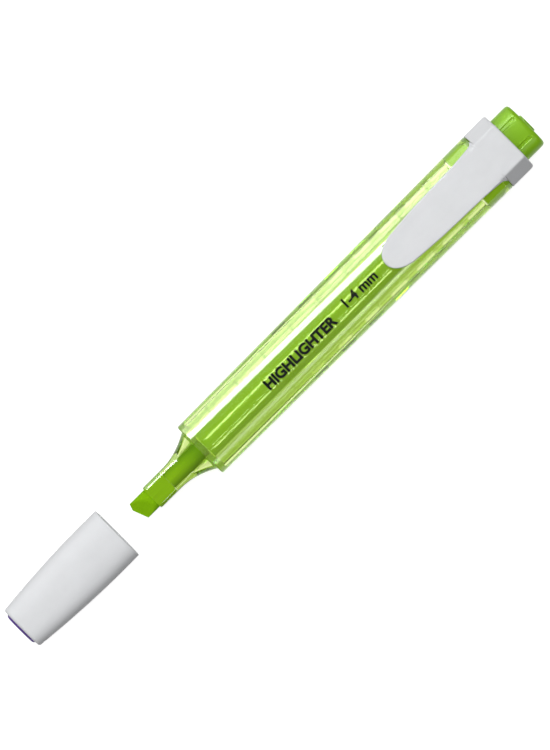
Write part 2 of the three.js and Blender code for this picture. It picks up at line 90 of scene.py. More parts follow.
@dataclass(frozen=True)
class PenAxis:
    """The line through the middle of the barrel, which every size in this file is measured from.

    Attributes:
        front_x: the barrel's front face, in metres along the model's X.
        height: the axis above the surface the pen lies on, in metres.
    """

    front_x: float
    height: float

    @classmethod
    def of_barrel(cls) -> PenAxis:
        """Reads the axis from the CAD barrel's box."""
        low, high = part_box("barrel")
        return cls(front_x=low.x, height=(low.z + high.z) / 2)

    def place(self, points: Floats) -> Floats:
        """Turns millimetres along the axis into the model's metres.

        Args:
            points: an array whose last axis is x, y, z.

        Returns:
            An array of the same shape.
        """
        return points * MM + np.array([self.front_x, 0.0, self.height])

    def along(self, node: str) -> tuple[float, float]:
        """Gives where a CAD part starts and ends along the axis, in millimetres."""
        low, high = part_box(node)
        return (low.x - self.front_x) / MM, (high.x - self.front_x) / MM


PEN = PenAxis.of_barrel()


def span(node: str) -> tuple[float, float]:
    """Gives a CAD part's full width and thickness, in millimetres."""
    low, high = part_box(node)
    return (high.y - low.y) / MM, (high.z - low.z) / MM


# ---- Swept surfaces ----


@dataclass(frozen=True)
class Ring:
    """A cross-section square to the pen's axis: a superellipse.

    Attributes:
        x: its place along the axis.
        width: its full size across.
        thickness: its full size from back to front.
        power: 2 is an ellipse; more makes the front and the sides flatter.
        ease: how far from here the profile leaves its corner to round it off.
    """

    x: float
    width: float
    thickness: float
    power: float = 2.0
    ease: float = 0.0

    @classmethod
    def circle(cls, x: float, size: float, ease: float = 0.0) -> Ring:
        """Makes a round section of this diameter."""
        return cls(x, size, size, 2.0, ease)

    def values(self) -> Floats:
        """Gives the ring as an array: x, half width, half thickness, power."""
        return np.array([self.x, self.width / 2, self.thickness / 2, self.power])


# A rounded corner gets this many rings, and no stretch of a profile is longer than this.
EASE_STEPS = 5
LONGEST_STEP = 4.0


def profile(rings: list[Ring], closed: bool) -> Floats:
    """Rounds a profile's corners and fills in its long stretches.

    A corner at B between A and C becomes the curve (1-t)^2 A' + 2t(1-t) B + t^2 C', where A' and C' lie
    the corner's ease before and after it, and never past the middle of a stretch. Where two such curves
    meet in the middle, their shared ring is kept once.

    Args:
        rings: the profile's corners in order.
        closed: True if the last ring joins the first.

    Returns:
        One row for each ring: x, half width, half thickness, power.
    """
    corners = np.array([ring.values() for ring in rings])
    count = len(rings)
    t = np.linspace(0, 1, EASE_STEPS)[:, None]
    rows: list[Floats] = []
    for i, ring in enumerate(rings):
        at_end = not closed and i in (0, count - 1)
        if ring.ease <= 0 or at_end:
            rows.append(corners[i : i + 1])
            continue
        here, before, after = corners[i], corners[i - 1], corners[(i + 1) % count]
        ends = []
        for other in (before, after):
            reach = np.hypot(other[0] - here[0], other[1] - here[1])
            ends.append(here + (other - here) * min(ring.ease / max(reach, 1e-9), 0.5))
        rows.append((1 - t) ** 2 * ends[0] + 2 * t * (1 - t) * here + t**2 * ends[1])
    table = np.concatenate(rows)
    apart = np.hypot(*np.diff(table[:, :2], axis=0).T) > 1e-6
    table = table[np.concatenate([[True], apart])]
    filled: list[Floats] = []
    following = np.roll(table, -1, axis=0) if closed else table[1:]
    for start, end in zip(table, following):
        steps = max(1, math.ceil(np.hypot(end[0] - start[0], end[1] - start[1]) / LONGEST_STEP))
        share = np.linspace(0, 1, steps, endpoint=False)[:, None]
        filled.append(start + (end - start) * share)
    if not closed:
        filled.append(table[-1:])
    return np.concatenate(filled)


def superellipse(half_width: Floats, half_thickness: Floats, power: Floats, turns: Floats) -> Floats:
    """Works out superellipse rings: y = a |cos t|^(2/p), z = b |sin t|^(2/p), with the signs kept.

    Inside each quarter the angle is t = (pi/2) q^m / (q^m + (1-q)^m) with m = p/2, which spaces the
    points evenly along flat sides.

    Args:
        half_width: a, one for each ring.
        half_thickness: b, one for each ring.
        power: p, one for each ring.
        turns: places round the ring, from 0 to 1.

    Returns:
        An array of rings by places by (y, z).
    """
    quarter, q = np.divmod(turns * 4, 1)
    m = power[:, None] / 2
    t = (quarter + q**m / (q**m + (1 - q) ** m)) * np.pi / 2
    c, s = np.cos(t), np.sin(t)
    e = 2 / power[:, None]
    y = half_width[:, None] * np.sign(c) * np.abs(c) ** e
    z = half_thickness[:, None] * np.sign(s) * np.abs(s) ** e
    return np.stack([y, z], axis=-1)


def swept(table: Floats, around: int) -> Floats:
    """Stands a superellipse on every ring of a profile.

    Args:
        table: the rows that profile() gives.
        around: how many points each ring has.

    Returns:
        A grid of rings by points by (x, y, z).
    """
    turns = np.arange(around) / around
    loops = superellipse(table[:, 1], table[:, 2], table[:, 3], turns)
    x = np.broadcast_to(table[:, None, :1], (*loops.shape[:2], 1))
    return np.concatenate([x, loops], axis=-1)


def grid_quads(rows: int, columns: int, closed: bool) -> Ints:
    """Joins a grid whose columns run round a ring into quads.

    Args:
        rows: how many rings there are.
        columns: how many points each ring has.
        closed: True if the last ring joins the first.

    Returns:
        Four point numbers for each quad.
    """
    r = np.arange(rows if closed else rows - 1)[:, None]
    c = np.arange(columns)[None, :]
    here, beyond = r * columns, ((r + 1) % rows) * columns
    along = (c + 1) % columns
    return np.stack([here + c, here + along, beyond + along, beyond + c], axis=-1).reshape(-1, 4)


def end_fan(first: int, columns: int, pole: int) -> Ints:
    """Joins one ring to a pole with triangles.

    Args:
        first: the ring's first point number.
        columns: how many points the ring has.
        pole: the pole's point number.

    Returns:
        Three point numbers for each triangle.
    """
    c = np.arange(columns)
    return np.stack([first + c, np.full(columns, pole), first + (c + 1) % columns], axis=-1)


def signed_volume(points: Floats, faces: list[list[int]]) -> float:
    """Gives a closed mesh's volume: a sixth of the sum, over the triangles, of a . (b x c).

    Args:
        points: the mesh's points.
        faces: point numbers of each face.

    Returns:
        The volume, which is negative if the faces point inwards.
    """
    triangles = np.array([[f[0], f[i], f[i + 1]] for f in faces for i in range(1, len(f) - 1)])
    a, b, c = points[triangles[:, 0]], points[triangles[:, 1]], points[triangles[:, 2]]
    return float(np.einsum("ij,ij->", a, np.cross(b, c)) / 6)


def facing(points: Floats, faces: list[list[int]], outwards: bool = True) -> list[list[int]]:
    """Turns a closed mesh's faces outwards, or inwards for a hollow inside another piece."""
    wrong = (signed_volume(points, faces) < 0) == outwards
    return [face[::-1] for face in faces] if wrong else faces


def new_object(name: str, data: bpy.types.ID) -> bpy.types.Object:
    """Puts a mesh, letters, a lamp or a camera into the scene as an object at the origin.

    Args:
        name: its name.
        data: what it holds.

    Returns:
        The object.
    """
    made = bpy.data.objects.new(name, data)
    bpy.context.scene.collection.objects.link(made)
    return made


def make_piece(
    name: str, points: Floats, faces: list[list[int]], material: bpy.types.Material, sharp: float = 40.0
) -> bpy.types.Object:
    """Makes a mesh object at the model's origin, with its faces pointing outwards.

    Args:
        name: the piece's name.
        points: its points in millimetres along the pen's axis.
        faces: point numbers of each face.
        material: what it is made of.
        sharp: edges that bend more than this many degrees stay crisp.

    Returns:
        The new object.
    """
    faces = facing(points, faces)
    mesh = bpy.data.meshes.new(name)
    mesh.from_pydata(PEN.place(points).tolist(), [], faces)
    mesh.validate()
    mesh.shade_smooth()
    mesh.set_sharp_from_angle(angle=math.radians(sharp))
    mesh.materials.append(material)
    return new_object(name, mesh)


def dress_part(piece: bpy.types.Object, material: bpy.types.Material, start: float, end: float) -> None:
    """Gives the faces between two places along the axis a second material.

    Args:
        piece: the piece to dress.
        material: the second material.
        start: where its faces start, in millimetres along the axis.
        end: where they end.
    """
    mesh = piece.data
    mesh.materials.append(material)
    centres = np.zeros(len(mesh.polygons) * 3)
    mesh.polygons.foreach_get("center", centres)
    x = (centres.reshape(-1, 3)[:, 0] - PEN.front_x) / MM
    chosen = ((x > start) & (x < end)).astype(np.int32) * (len(mesh.materials) - 1)
    mesh.polygons.foreach_set("material_index", chosen)


def shell_piece(
    name: str, rings: list[Ring], material: bpy.types.Material, around: int = 128
) -> bpy.types.Object:
    """Makes a hollow piece from a profile that closes on itself, outside and then inside.

    Args:
        name: the piece's name.
        rings: the profile's corners, once round.
        material: what it is made of.
        around: points on each ring.

    Returns:
        The new object.
    """
    grid = swept(profile(rings, closed=True), around)
    faces = grid_quads(grid.shape[0], around, closed=True).tolist()
    return make_piece(name, grid.reshape(-1, 3), faces, material)


def solid_piece(
    name: str, rings: list[Ring], material: bpy.types.Material, around: int = 128
) -> bpy.types.Object:
    """Makes a solid piece from a profile that is closed by a pole at each end.

    Args:
        name: the piece's name.
        rings: the profile's corners from one end to the other.
        material: what it is made of.
        around: points on each ring.

    Returns:
        The new object.
    """
    points, faces = with_poles(swept(profile(rings, closed=False), around))
    return make_piece(name, points, faces, material)


def with_poles(grid: Floats, first: int = 0) -> tuple[Floats, list[list[int]]]:
    """Closes both ends of a grid of rings with a pole in the middle of each.

    Args:
        grid: rings by points by (x, y, z).
        first: the number of its first point in the mesh that it joins.

    Returns:
        The points and the faces.
    """
    rows, columns = grid.shape[:2]
    poles = grid[[0, -1]].mean(axis=1)
    points = np.concatenate([grid.reshape(-1, 3), poles])
    front, back = rows * columns, rows * columns + 1
    faces = (grid_quads(rows, columns, closed=False) + first).tolist()
    faces += (end_fan(0, columns, front) + first).tolist()
    faces += (end_fan((rows - 1) * columns, columns, back)[:, ::-1] + first).tolist()
    return points, faces


# ---- Finishes ----


class Tree:
    """Builds one material's nodes."""

    def __init__(self, name: str) -> None:
        """Starts an empty material of this name.

        Args:
            name: the material's name.
        """
        self.material = bpy.data.materials.new(name)
        self.material.use_nodes = True
        self.tree = self.material.node_tree
        self.tree.nodes.clear()
        self.output = self.tree.nodes.new("ShaderNodeOutputMaterial")

    def add(self, kind: str, **values: object) -> bpy.types.Node:
        """Adds a node.

        Args:
            kind: the node's type, without its ShaderNode prefix.
            **values: socket values by name, with _ for a space, or node settings by their own names.

        Returns:
            The new node.
        """
        node = self.tree.nodes.new("ShaderNode" + kind)
        for key, value in values.items():
            socket = node.inputs.get(key.replace("_", " "))
            if socket is None:
                setattr(node, key, value)
            elif isinstance(value, bpy.types.NodeSocket):
                self.tree.links.new(value, socket)
            else:
                socket.default_value = value
        return node

    def link(self, source: bpy.types.NodeSocket, target: bpy.types.NodeSocket) -> None:
        """Joins an output to an input."""
        self.tree.links.new(source, target)

    def finished(self, surface: bpy.types.NodeSocket) -> bpy.types.Material:
        """Joins the surface to the output; what glows in it isn't sampled as a lamp.

        Args:
            surface: the output of the last shader.

        Returns:
            The material.
        """
        self.link(surface, self.output.inputs["Surface"])
        self.material.cycles.emission_sampling = "NONE"
        return self.material

    def place(self, scale: Triple) -> bpy.types.NodeSocket:
        """Gives the piece's own place, stretched by a scale for each axis.

        Args:
            scale: how much each axis is stretched.

        Returns:
            The place, as a vector output.
        """
        coordinates = self.add("TexCoord")
        mapping = self.add("Mapping", Vector=coordinates.outputs["Object"], Scale=scale)
        return mapping.outputs["Vector"]

    def noise(self, scale: Triple, detail: float = 3.0) -> bpy.types.NodeSocket:
        """Gives a noise between 0 and 1 whose grain is 1/scale metres long on each axis."""
        node = self.add("TexNoise", Vector=self.place(scale), Scale=1.0, Detail=detail, Roughness=0.55)
        return node.outputs["Fac"]

    def between(self, amount: bpy.types.NodeSocket, low: float, high: float) -> bpy.types.NodeSocket:
        """Stretches the middle of a noise to run from low to high."""
        node = self.add("MapRange", Value=amount, From_Min=0.3, From_Max=0.7, To_Min=low, To_Max=high)
        return node.outputs["Result"]

    def mix(self, amount: bpy.types.NodeSocket, first: Colour, second: Colour) -> bpy.types.NodeSocket:
        """Blends two colours by a number from 0 to 1.

        Args:
            amount: the share of the second colour.
            first: the colour at 0.
            second: the colour at 1.

        Returns:
            The blend, as a colour output.
        """
        node = self.add("Mix", data_type="RGBA")
        self.link(amount, node.inputs["Factor"])
        node.inputs[6].default_value = (*first, 1.0)
        node.inputs[7].default_value = (*second, 1.0)
        return node.outputs[2]

    def bump(self, height: bpy.types.NodeSocket, depth: float, strength: float) -> bpy.types.NodeSocket:
        """Turns a height into a normal; depth is its full height in metres."""
        node = self.add("Bump", Height=height, Distance=depth, Strength=strength)
        return node.outputs["Normal"]


def shaded(colour: Colour, factor: float) -> Colour:
    """Makes a colour darker or lighter by a factor."""
    return tuple(min(channel * factor, 1.0) for channel in colour)


@dataclass(frozen=True)
class MouldedPlastic:
    """An opaque moulded plastic with a faint cloudiness and a fine spark-eroded grain.

    Attributes:
        name: the material's name.
        colour: its linear colour.
        roughness: its middle roughness.
        grain: how strongly the grain dents the surface.
        painted_glow: a painted glow, a steady emission that stands in for light falling on it; partly the
            dye's real fluorescence.
        gloss: how strongly it mirrors, where 0.5 is a polished plastic.
    """

    name: str
    colour: Colour
    roughness: float
    grain: float = 0.15
    painted_glow: Colour = (0.0, 0.0, 0.0)
    gloss: float = 0.15

    def material(self) -> bpy.types.Material:
        """Builds the material.

        Returns:
            The material.
        """
        tree = Tree(self.name)
        cloud = tree.between(tree.noise((140.0, 260.0, 260.0)), 0.0, 1.0)
        grain = tree.noise((9000.0, 9000.0, 9000.0), detail=2.0)
        shader = tree.add(
            "BsdfPrincipled",
            Base_Color=tree.mix(cloud, shaded(self.colour, 0.975), shaded(self.colour, 1.02)),
            Roughness=tree.between(cloud, self.roughness - 0.03, self.roughness + 0.04),
            Normal=tree.bump(grain, 0.00002, self.grain),
            IOR=1.48,
            Specular_IOR_Level=self.gloss,
            # The painted glow: a steady emission that lifts the plastic's shade, partly real fluorescence.
            Emission_Color=(*self.painted_glow, 1.0),
            Emission_Strength=1.0,
        )
        return tree.finished(shader.outputs["BSDF"])


@dataclass(frozen=True)
class ClearPlastic:
    """A see-through tinted plastic. The tint deepens with the length of plastic that light crosses.

    Attributes:
        name: the material's name.
        surface: the colour that its skin lets through.
        passed: the share of light that a millimetre lets through, by colour.
        shadow: the colour of the light that falls through a whole wall.
        roughness: its middle roughness.
        index: its refractive index.
        painted_glow: a painted glow, a steady emission that stands in for light lost inside the plastic;
            partly the dye's real fluorescence.
    """

    name: str
    surface: Colour
    passed: Colour
    shadow: Colour
    roughness: float = 0.02
    index: float = 1.5
    painted_glow: Colour = (0.0, 0.0, 0.0)

    def absorption(self) -> tuple[Colour, float]:
        """Works out the absorption: a millimetre lets through exp(-density (1 - colour) 1 mm).

        Returns:
            The volume's colour and its density for each metre.
        """
        per_metre = [-math.log(share) / MM for share in self.passed]
        density = max(per_metre) / 0.98
        return tuple(1 - value / density for value in per_metre), density

    def material(self) -> bpy.types.Material:
        """Builds the material.

        Returns:
            The material.
        """
        tree = Tree(self.name)
        flow = tree.noise((60.0, 420.0, 420.0))
        ripple = tree.noise((240.0, 900.0, 900.0), detail=2.0)
        glass = tree.add(
            "BsdfPrincipled",
            Base_Color=tree.mix(flow, shaded(self.surface, 0.985), shaded(self.surface, 1.01)),
            Roughness=tree.between(flow, self.roughness * 0.5, self.roughness * 1.5),
            Normal=tree.bump(ripple, 0.00001, 0.04),
            IOR=self.index,
            Transmission_Weight=1.0,
            # The painted glow: a steady emission that fills in light lost inside the plastic, partly real
            # fluorescence.
            Emission_Color=(*self.painted_glow, 1.0),
            Emission_Strength=1.0,
        )
        path = tree.add("LightPath")
        open_to_light = tree.add("BsdfTransparent", Color=(*self.shadow, 1.0))
        mixed = tree.add("MixShader")
        tree.link(path.outputs["Is Shadow Ray"], mixed.inputs[0])
        tree.link(glass.outputs["BSDF"], mixed.inputs[1])
        tree.link(open_to_light.outputs["BSDF"], mixed.inputs[2])
        colour, density = self.absorption()
        depth = tree.add("VolumeAbsorption", Color=(*colour, 1.0), Density=density)
        tree.link(depth.outputs["Volume"], tree.output.inputs["Volume"])
        return tree.finished(mixed.outputs["Shader"])


@dataclass(frozen=True)
class InkedFibre:
    """Bundled fibre soaked in ink, with its threads along the pen.

    Attributes:
        name: the material's name.
        colour: its linear colour.
        contrast: how much darker the gaps between the threads are.
        painted_glow: a painted glow, a steady emission that stands in for light reaching the ink through the
            plastic; partly the ink's real fluorescence.
    """

    name: str
    colour: Colour
    contrast: float = 0.12
    painted_glow: Colour = (0.02, 0.05, 0.0)

    def material(self) -> bpy.types.Material:
        """Builds the material.

        Returns:
            The material.
        """
        tree = Tree(self.name)
        threads = tree.noise((180.0, 7000.0, 7000.0), detail=4.0)
        soak = tree.noise((120.0, 200.0, 200.0))
        low, high = shaded(self.colour, 1 - self.contrast), shaded(self.colour, 1 + self.contrast)
        shader = tree.add(
            "BsdfPrincipled",
            Base_Color=tree.mix(tree.between(threads, 0.0, 1.0), low, high),
            Roughness=tree.between(soak, 0.6, 0.85),
            Normal=tree.bump(threads, 0.00004, 0.35),
            Specular_IOR_Level=0.05,
            # The painted glow: a steady emission that evens out the fibre's shaded side, partly real
            # fluorescence.
            Emission_Color=(*self.painted_glow, 1.0),
            Emission_Strength=1.0,
        )
        return tree.finished(shader.outputs["BSDF"])


# The shine colours below are painted glow: emission that brightens the greens where the lamps' light falls
# short, partly the real fluorescence of the ink and dye.
CLEAR_GREEN = ClearPlastic(
    "clear_green_plastic",
    (0.99, 1.0, 0.97),
    (0.818, 0.882, 0.612),
    (0.93, 0.97, 0.84),
    painted_glow=(0.024, 0.028, 0.002),
)
CLEAR_FILM = ClearPlastic(
    "reservoir_film", (0.97, 1.0, 0.92), (0.9, 0.96, 0.75), (0.96, 0.99, 0.9), index=1.15
)
NIB_INK = InkedFibre("inked_fibre", (0.2, 0.42, 0.004), painted_glow=(0.02, 0.05, 0.001))
# A lighter copy of the nib's ink with a stronger glow, for the rod inside the holder: painted light where the
# holder shades it.
NIB_CORE_LIT_INK = InkedFibre("nib_core_painted_light", (0.25, 0.45, 0.006), painted_glow=(0.07, 0.14, 0.001))
STORED_INK = InkedFibre("stored_ink_fibre", (0.265, 0.42, 0.01), 0.06, (0.118, 0.24, 0.002))
SOLID_GREEN = MouldedPlastic(
    "solid_green_plastic", (0.15, 0.32, 0.006), 0.34, painted_glow=(0.045, 0.095, 0.002), gloss=0.35
)
# A lighter, glowing copy of the plug's green for its block inside the barrel's tail: painted light where the
# barrel shades it.
PLUG_BLOCK_LIT = MouldedPlastic("plug_block_painted_light", (0.32, 0.56, 0.01), 0.4, painted_glow=(0.11, 0.22, 0.002))
PALE_GREY = MouldedPlastic("pale_grey_plastic", (0.735, 0.745, 0.76), 0.45, gloss=0.1)
SEAL_WHITE = MouldedPlastic("seal_white_plastic", (0.82, 0.83, 0.84), 0.5)
VIOLET = MouldedPlastic("violet_plastic", (0.11, 0.055, 0.3), 0.35)
PRINT_BLACK = MouldedPlastic("print_ink", (0.008, 0.009, 0.008), 0.4, gloss=0.05)


# ---- The barrel ----


@dataclass(frozen=True)
class Rib:
    """A rib along the inside of the barrel's front, with a mirrored twin on the back.

    Attributes:
        place: its y on the front.
        half: half its width.
        depth: how far it stands from the wall.
        tilt: how much its end slopes, as a rise for each millimetre of y.
    """

    place: float
    half: float
    depth: float = 0.08
    tilt: float = -0.13


@dataclass
class Barrel:
    """The see-through barrel: a flat tube with ribs, ring lines and side rails moulded inside it.

    The side rails run in from the side walls and hold the reservoir in the middle. Towards the tail their
    outer halves are thinner between the ring lines, which leaves a row of clear windows.

    Attributes:
        width, thickness: the outside's full size; front_narrowing is how much narrower its front is.
        wall, side_wall: how thick the front and back are, and the sides.
        front_power, tail_power, cavity_power: the superellipse powers of the outside and the inside.
        shoulder, body_end: the front edge's rounding, and where the full section ends.
        neck_width, neck_thickness, neck_wall: the neck behind it, which the collar sits on.
        ribs, rib_from, rib_to: the ribs and where they run.
        first_line, line_pitch, line_count, line_depth: the ring lines' places and height.
        rail_from, rail_to, rail_reach, rail_half: where the rails run, their inner face and half thickness.
        window_edge, window_half: where a window starts across, and its half thickness.
        step_half, front_half: the half thickness after a ring line, and in front.
        first_window, full_window: where the windows start to open, and where they are fully open.
        line_rows, step_rows, edge_rows: where the surface has rows beside a line, a step and an end.
        front_reach, front_points, side_points: how the points round a ring are shared out.
        slope: how far along x a rail's or a rib's end slopes.
    """

    width: float = span("barrel")[0]
    thickness: float = span("barrel")[1]
    front_narrowing: float = 1.25
    wall: float = 1.15
    side_wall: float = 0.95
    front_power: float = 3.4
    tail_power: float = 2.65
    cavity_power: float = 4.6
    shoulder: float = 0.35
    body_end: float = 88.6
    neck_width: float = 13.15
    neck_thickness: float = 9.0
    neck_wall: float = 0.9
    ribs: tuple[Rib, ...] = (Rib(0.85, 0.23), Rib(-1.78, 0.2), Rib(-1.2, 0.06))
    rib_from: float = 1.7
    rib_to: float = 80.5
    first_line: float = 7.45
    line_pitch: float = 8.44
    line_count: int = 9
    line_depth: float = 0.06
    rail_from: float = 1.62
    rail_to: float = 81.6
    rail_reach: float = 3.52
    rail_half: float = 2.7
    window_edge: float = 5.15
    window_half: float = 0.4
    step_half: float = 1.8
    front_half: float = 2.5
    first_window: float = 18.0
    full_window: float = 42.0
    line_rows: tuple[float, ...] = (-0.26, -0.17, -0.08, 0.08, 0.17, 0.26)
    step_rows: tuple[float, ...] = (-0.04, 0.0, 0.06, 0.1)
    edge_rows: tuple[float, ...] = (0.0, 0.1)
    front_reach: float = 3.2
    front_points: int = 33
    side_points: int = 57
    slope: float = 0.1

    def body_width(self, x: float | Floats) -> float | Floats:
        """Gives the outside width at x, which grows evenly towards the tail."""
        share = np.minimum(x / self.body_end, 1.0)
        return self.width - self.front_narrowing * (1 - share)

    def power(self, x: float | Floats) -> float | Floats:
        """Gives the outside's superellipse power at x: the front end is boxier than the tail."""
        share = np.clip(x / 60.0, 0.0, 1.0)
        return self.front_power + (self.tail_power - self.front_power) * share

    def outer_rings(self) -> list[Ring]:
        """Gives the outside from the front face to the end of the neck.

        Returns:
            The profile's corners in order.
        """
        t, start = self.thickness, self.body_width(0)
        inner = (start - 2 * self.side_wall, t - 2 * self.wall)
        body = [Ring(x, self.body_width(x), t, self.power(x)) for x in np.arange(5.0, 86.0, 5.0)]
        return [
            Ring(0.0, *inner, self.cavity_power, 0.15),
            Ring(0.0, start, t, self.power(0), self.shoulder),
            *body,
            Ring(self.body_end, self.width, t, self.tail_power, 0.2),
            Ring(self.body_end, self.neck_width, self.neck_thickness, 3.0, 0.1),
            Ring(PEN.along("barrel")[1], self.neck_width, self.neck_thickness, 3.0, 0.2),
        ]

    def inner_rings(self) -> list[Ring]:
        """Gives the plain inside from the end of the neck back to the front.

        Returns:
            The profile's corners in order.
        """
        end, step = PEN.along("barrel")[1], self.body_end - 1.0
        bore = (self.neck_width - 2 * self.neck_wall, self.neck_thickness - 2 * self.neck_wall)
        inner = (self.body_width(step) - 2 * self.side_wall, self.thickness - 2 * self.wall)
        return [
            Ring(end, *bore, 3.0, 0.15),
            Ring(self.body_end, *bore, 3.0, 0.4),
            Ring(step, *inner, self.cavity_power, 0.4),
        ]

    def line_places(self) -> Floats:
        """Gives where the ring lines are."""
        return self.first_line + self.line_pitch * np.arange(self.line_count)

    def step_lengths(self) -> Floats:
        """Gives how long the half-thick stretch after each ring line is; it shortens towards the tail."""
        return np.interp(self.line_places(), [self.first_window, 40.0, 75.0], [4.6, 4.2, 1.7])

    def cavity_x(self) -> Floats:
        """Lists where the inside needs a row, from the tail to the front.

        Returns:
            The places along the axis, largest first.
        """
        lines = self.line_places()
        edges = np.array([self.rib_from, self.rib_to, self.rail_from, self.rail_to])
        near_lines = np.add.outer(lines, self.line_rows).ravel()
        near_steps = np.add.outer(lines + self.step_lengths(), self.step_rows).ravel()
        near_edges = np.add.outer(edges, self.edge_rows).ravel()
        plain = np.arange(0.2, self.body_end - 1.5, 3.0)
        x = np.unique(np.concatenate([near_lines, near_steps, near_edges, plain]))[::-1]
        return x[x < self.body_end - 1.4]

    def rail_thickness(self, x: Floats) -> Floats:
        """Gives the half thickness of the rails' outer halves.

        It is a little thinner than the inner halves in front. Between the lines further back it falls to
        the step's half and then the window's, fully so only from full_window on.

        Args:
            x: places along the axis.

        Returns:
            The half thickness at each place.
        """
        lines, steps = self.line_places(), self.step_lengths()
        after = x[:, None] - lines
        last = np.where(after >= 0, after, np.inf).argmin(axis=1)
        gap = after[np.arange(len(x)), last]
        low = np.where(gap < steps[last] + 0.03, self.step_half, self.window_half)
        share = np.clip((x - self.first_window) / (self.full_window - self.first_window), 0, 1)
        return self.front_half + (low - self.front_half) * share

    def layout(self) -> tuple[Floats, Floats]:
        """Lays out the points round a ring: some by their place across, the rest by their share of a side.

        Returns:
            The places across of the front's points, and the shares from -1 to 1 of a side's points.
        """
        places = np.array([sign * rib.place for rib in self.ribs for sign in (1, -1)])
        halves = np.array([rib.half for rib in self.ribs for _ in (1, -1)])
        near = np.array([-0.016, 0.001, 0.06])
        edges = np.concatenate([p + s * (h + near) for p, h in zip(places, halves) for s in (-1, 1)])
        plain = np.linspace(-self.front_reach, self.front_reach, self.front_points)
        clear = plain[np.abs(plain[:, None] - places).min(axis=1) > 0.26]
        return np.unique(np.concatenate([edges, places, clear])), np.linspace(-1, 1, self.side_points)[1:-1]

    def rings_of_points(self, table: Floats) -> Floats:
        """Stands rings on the profile with the front and back laid out by y and the sides by angle.

        On the front and back z = b (1 - |y/a|^p)^(1/p). On a side t = T s^(p/2), where T is the angle at
        which the side meets the front, and y, z are the superellipse's own at t.

        Args:
            table: the rows that profile() gives.

        Returns:
            A grid of rings by points by (x, y, z).
        """
        across, share = self.layout()
        a, b, p = table[:, 1:2], table[:, 2:3], table[:, 3:4]
        front_z = b * (1 - np.abs(across / a) ** p) ** (1 / p)
        turn = np.arccos((across[-1] / a) ** (p / 2))
        t = turn * np.sign(share) * np.abs(share) ** (p / 2)
        side_y = a * np.cos(t) ** (2 / p)
        side_z = b * np.sign(t) * np.abs(np.sin(t)) ** (2 / p)
        across_rows = np.broadcast_to(across, front_z.shape)
        y = np.concatenate([across_rows[:, ::-1], -side_y[:, ::-1], across_rows, side_y], axis=1)
        z = np.concatenate([front_z[:, ::-1], side_z[:, ::-1], -front_z, side_z], axis=1)
        x = np.broadcast_to(table[:, :1], y.shape)
        return np.stack([x, y, z], axis=-1)

    def rail_points(self, a: Floats, b: Floats, x: Floats) -> tuple[Floats, Floats]:
        """Works out one side of the inside where a rail stands in it, from the back to the front.

        Upwards from the middle: the rail's inner face stands beside the film, its top runs out to the
        window's edge at the full height, over the window at the window's height and on to the side wall
        at the full height, and from there the wall is the cavity's own superellipse up to the front.

        Args:
            a: the cavity's half widths.
            b: its half thicknesses.
            x: its places along the axis.

        Returns:
            The y and the z of the points, one row for each place.
        """
        across, share = self.layout()
        count = (len(share) - 1) // 2
        p = self.cavity_power
        one = np.ones((len(x), 1))
        wall_z = one * self.rail_half
        wall_y = a[:, None] * (1 - (wall_z / b[:, None]) ** p) ** (1 / p)
        film_z = one * np.linspace(0.25, 1, 4) * (self.rail_half - 0.05)
        film_y = np.full_like(film_z, self.rail_reach)
        top_y = one * np.array([self.rail_reach + 0.05, 4.3, self.window_edge - 0.02])
        rest_y = one * np.array([0.02, 0.4, 0.78]) + self.window_edge
        rest_y = np.concatenate([rest_y, rest_y[:, -1:] + 0.04, wall_y - 0.05], axis=1)
        left = count - film_y.shape[1] - top_y.shape[1] - rest_y.shape[1]
        turn_wall = np.arcsin((wall_z / b[:, None]) ** (p / 2))
        turn_front = np.arccos((across[-1] / a[:, None]) ** (p / 2))
        t = turn_wall + (turn_front - turn_wall) * np.linspace(0, 1, left + 1)[:-1]
        arc_y = a[:, None] * np.cos(t) ** (2 / p)
        arc_z = b[:, None] * np.sin(t) ** (2 / p)
        y = np.concatenate([film_y, top_y, rest_y, arc_y], axis=1)
        low = self.rail_thickness(x)[:, None]
        flat = np.concatenate([low, low, low, wall_z, wall_z], axis=1)
        z = np.concatenate([film_z, one * self.rail_half * np.ones(3), flat, arc_z], axis=1)
        y = np.concatenate([y[:, ::-1], one * self.rail_reach, y], axis=1)
        return y, np.concatenate([-z[:, ::-1], 0 * one, z], axis=1)

    def run(self, x: Floats, start: float, end: float) -> Floats:
        """Gives a column that is 1 between two places and slopes to 0 at its ends."""
        return np.clip(np.minimum(x - start, end + self.slope - x) / self.slope, 0, 1)[:, None]

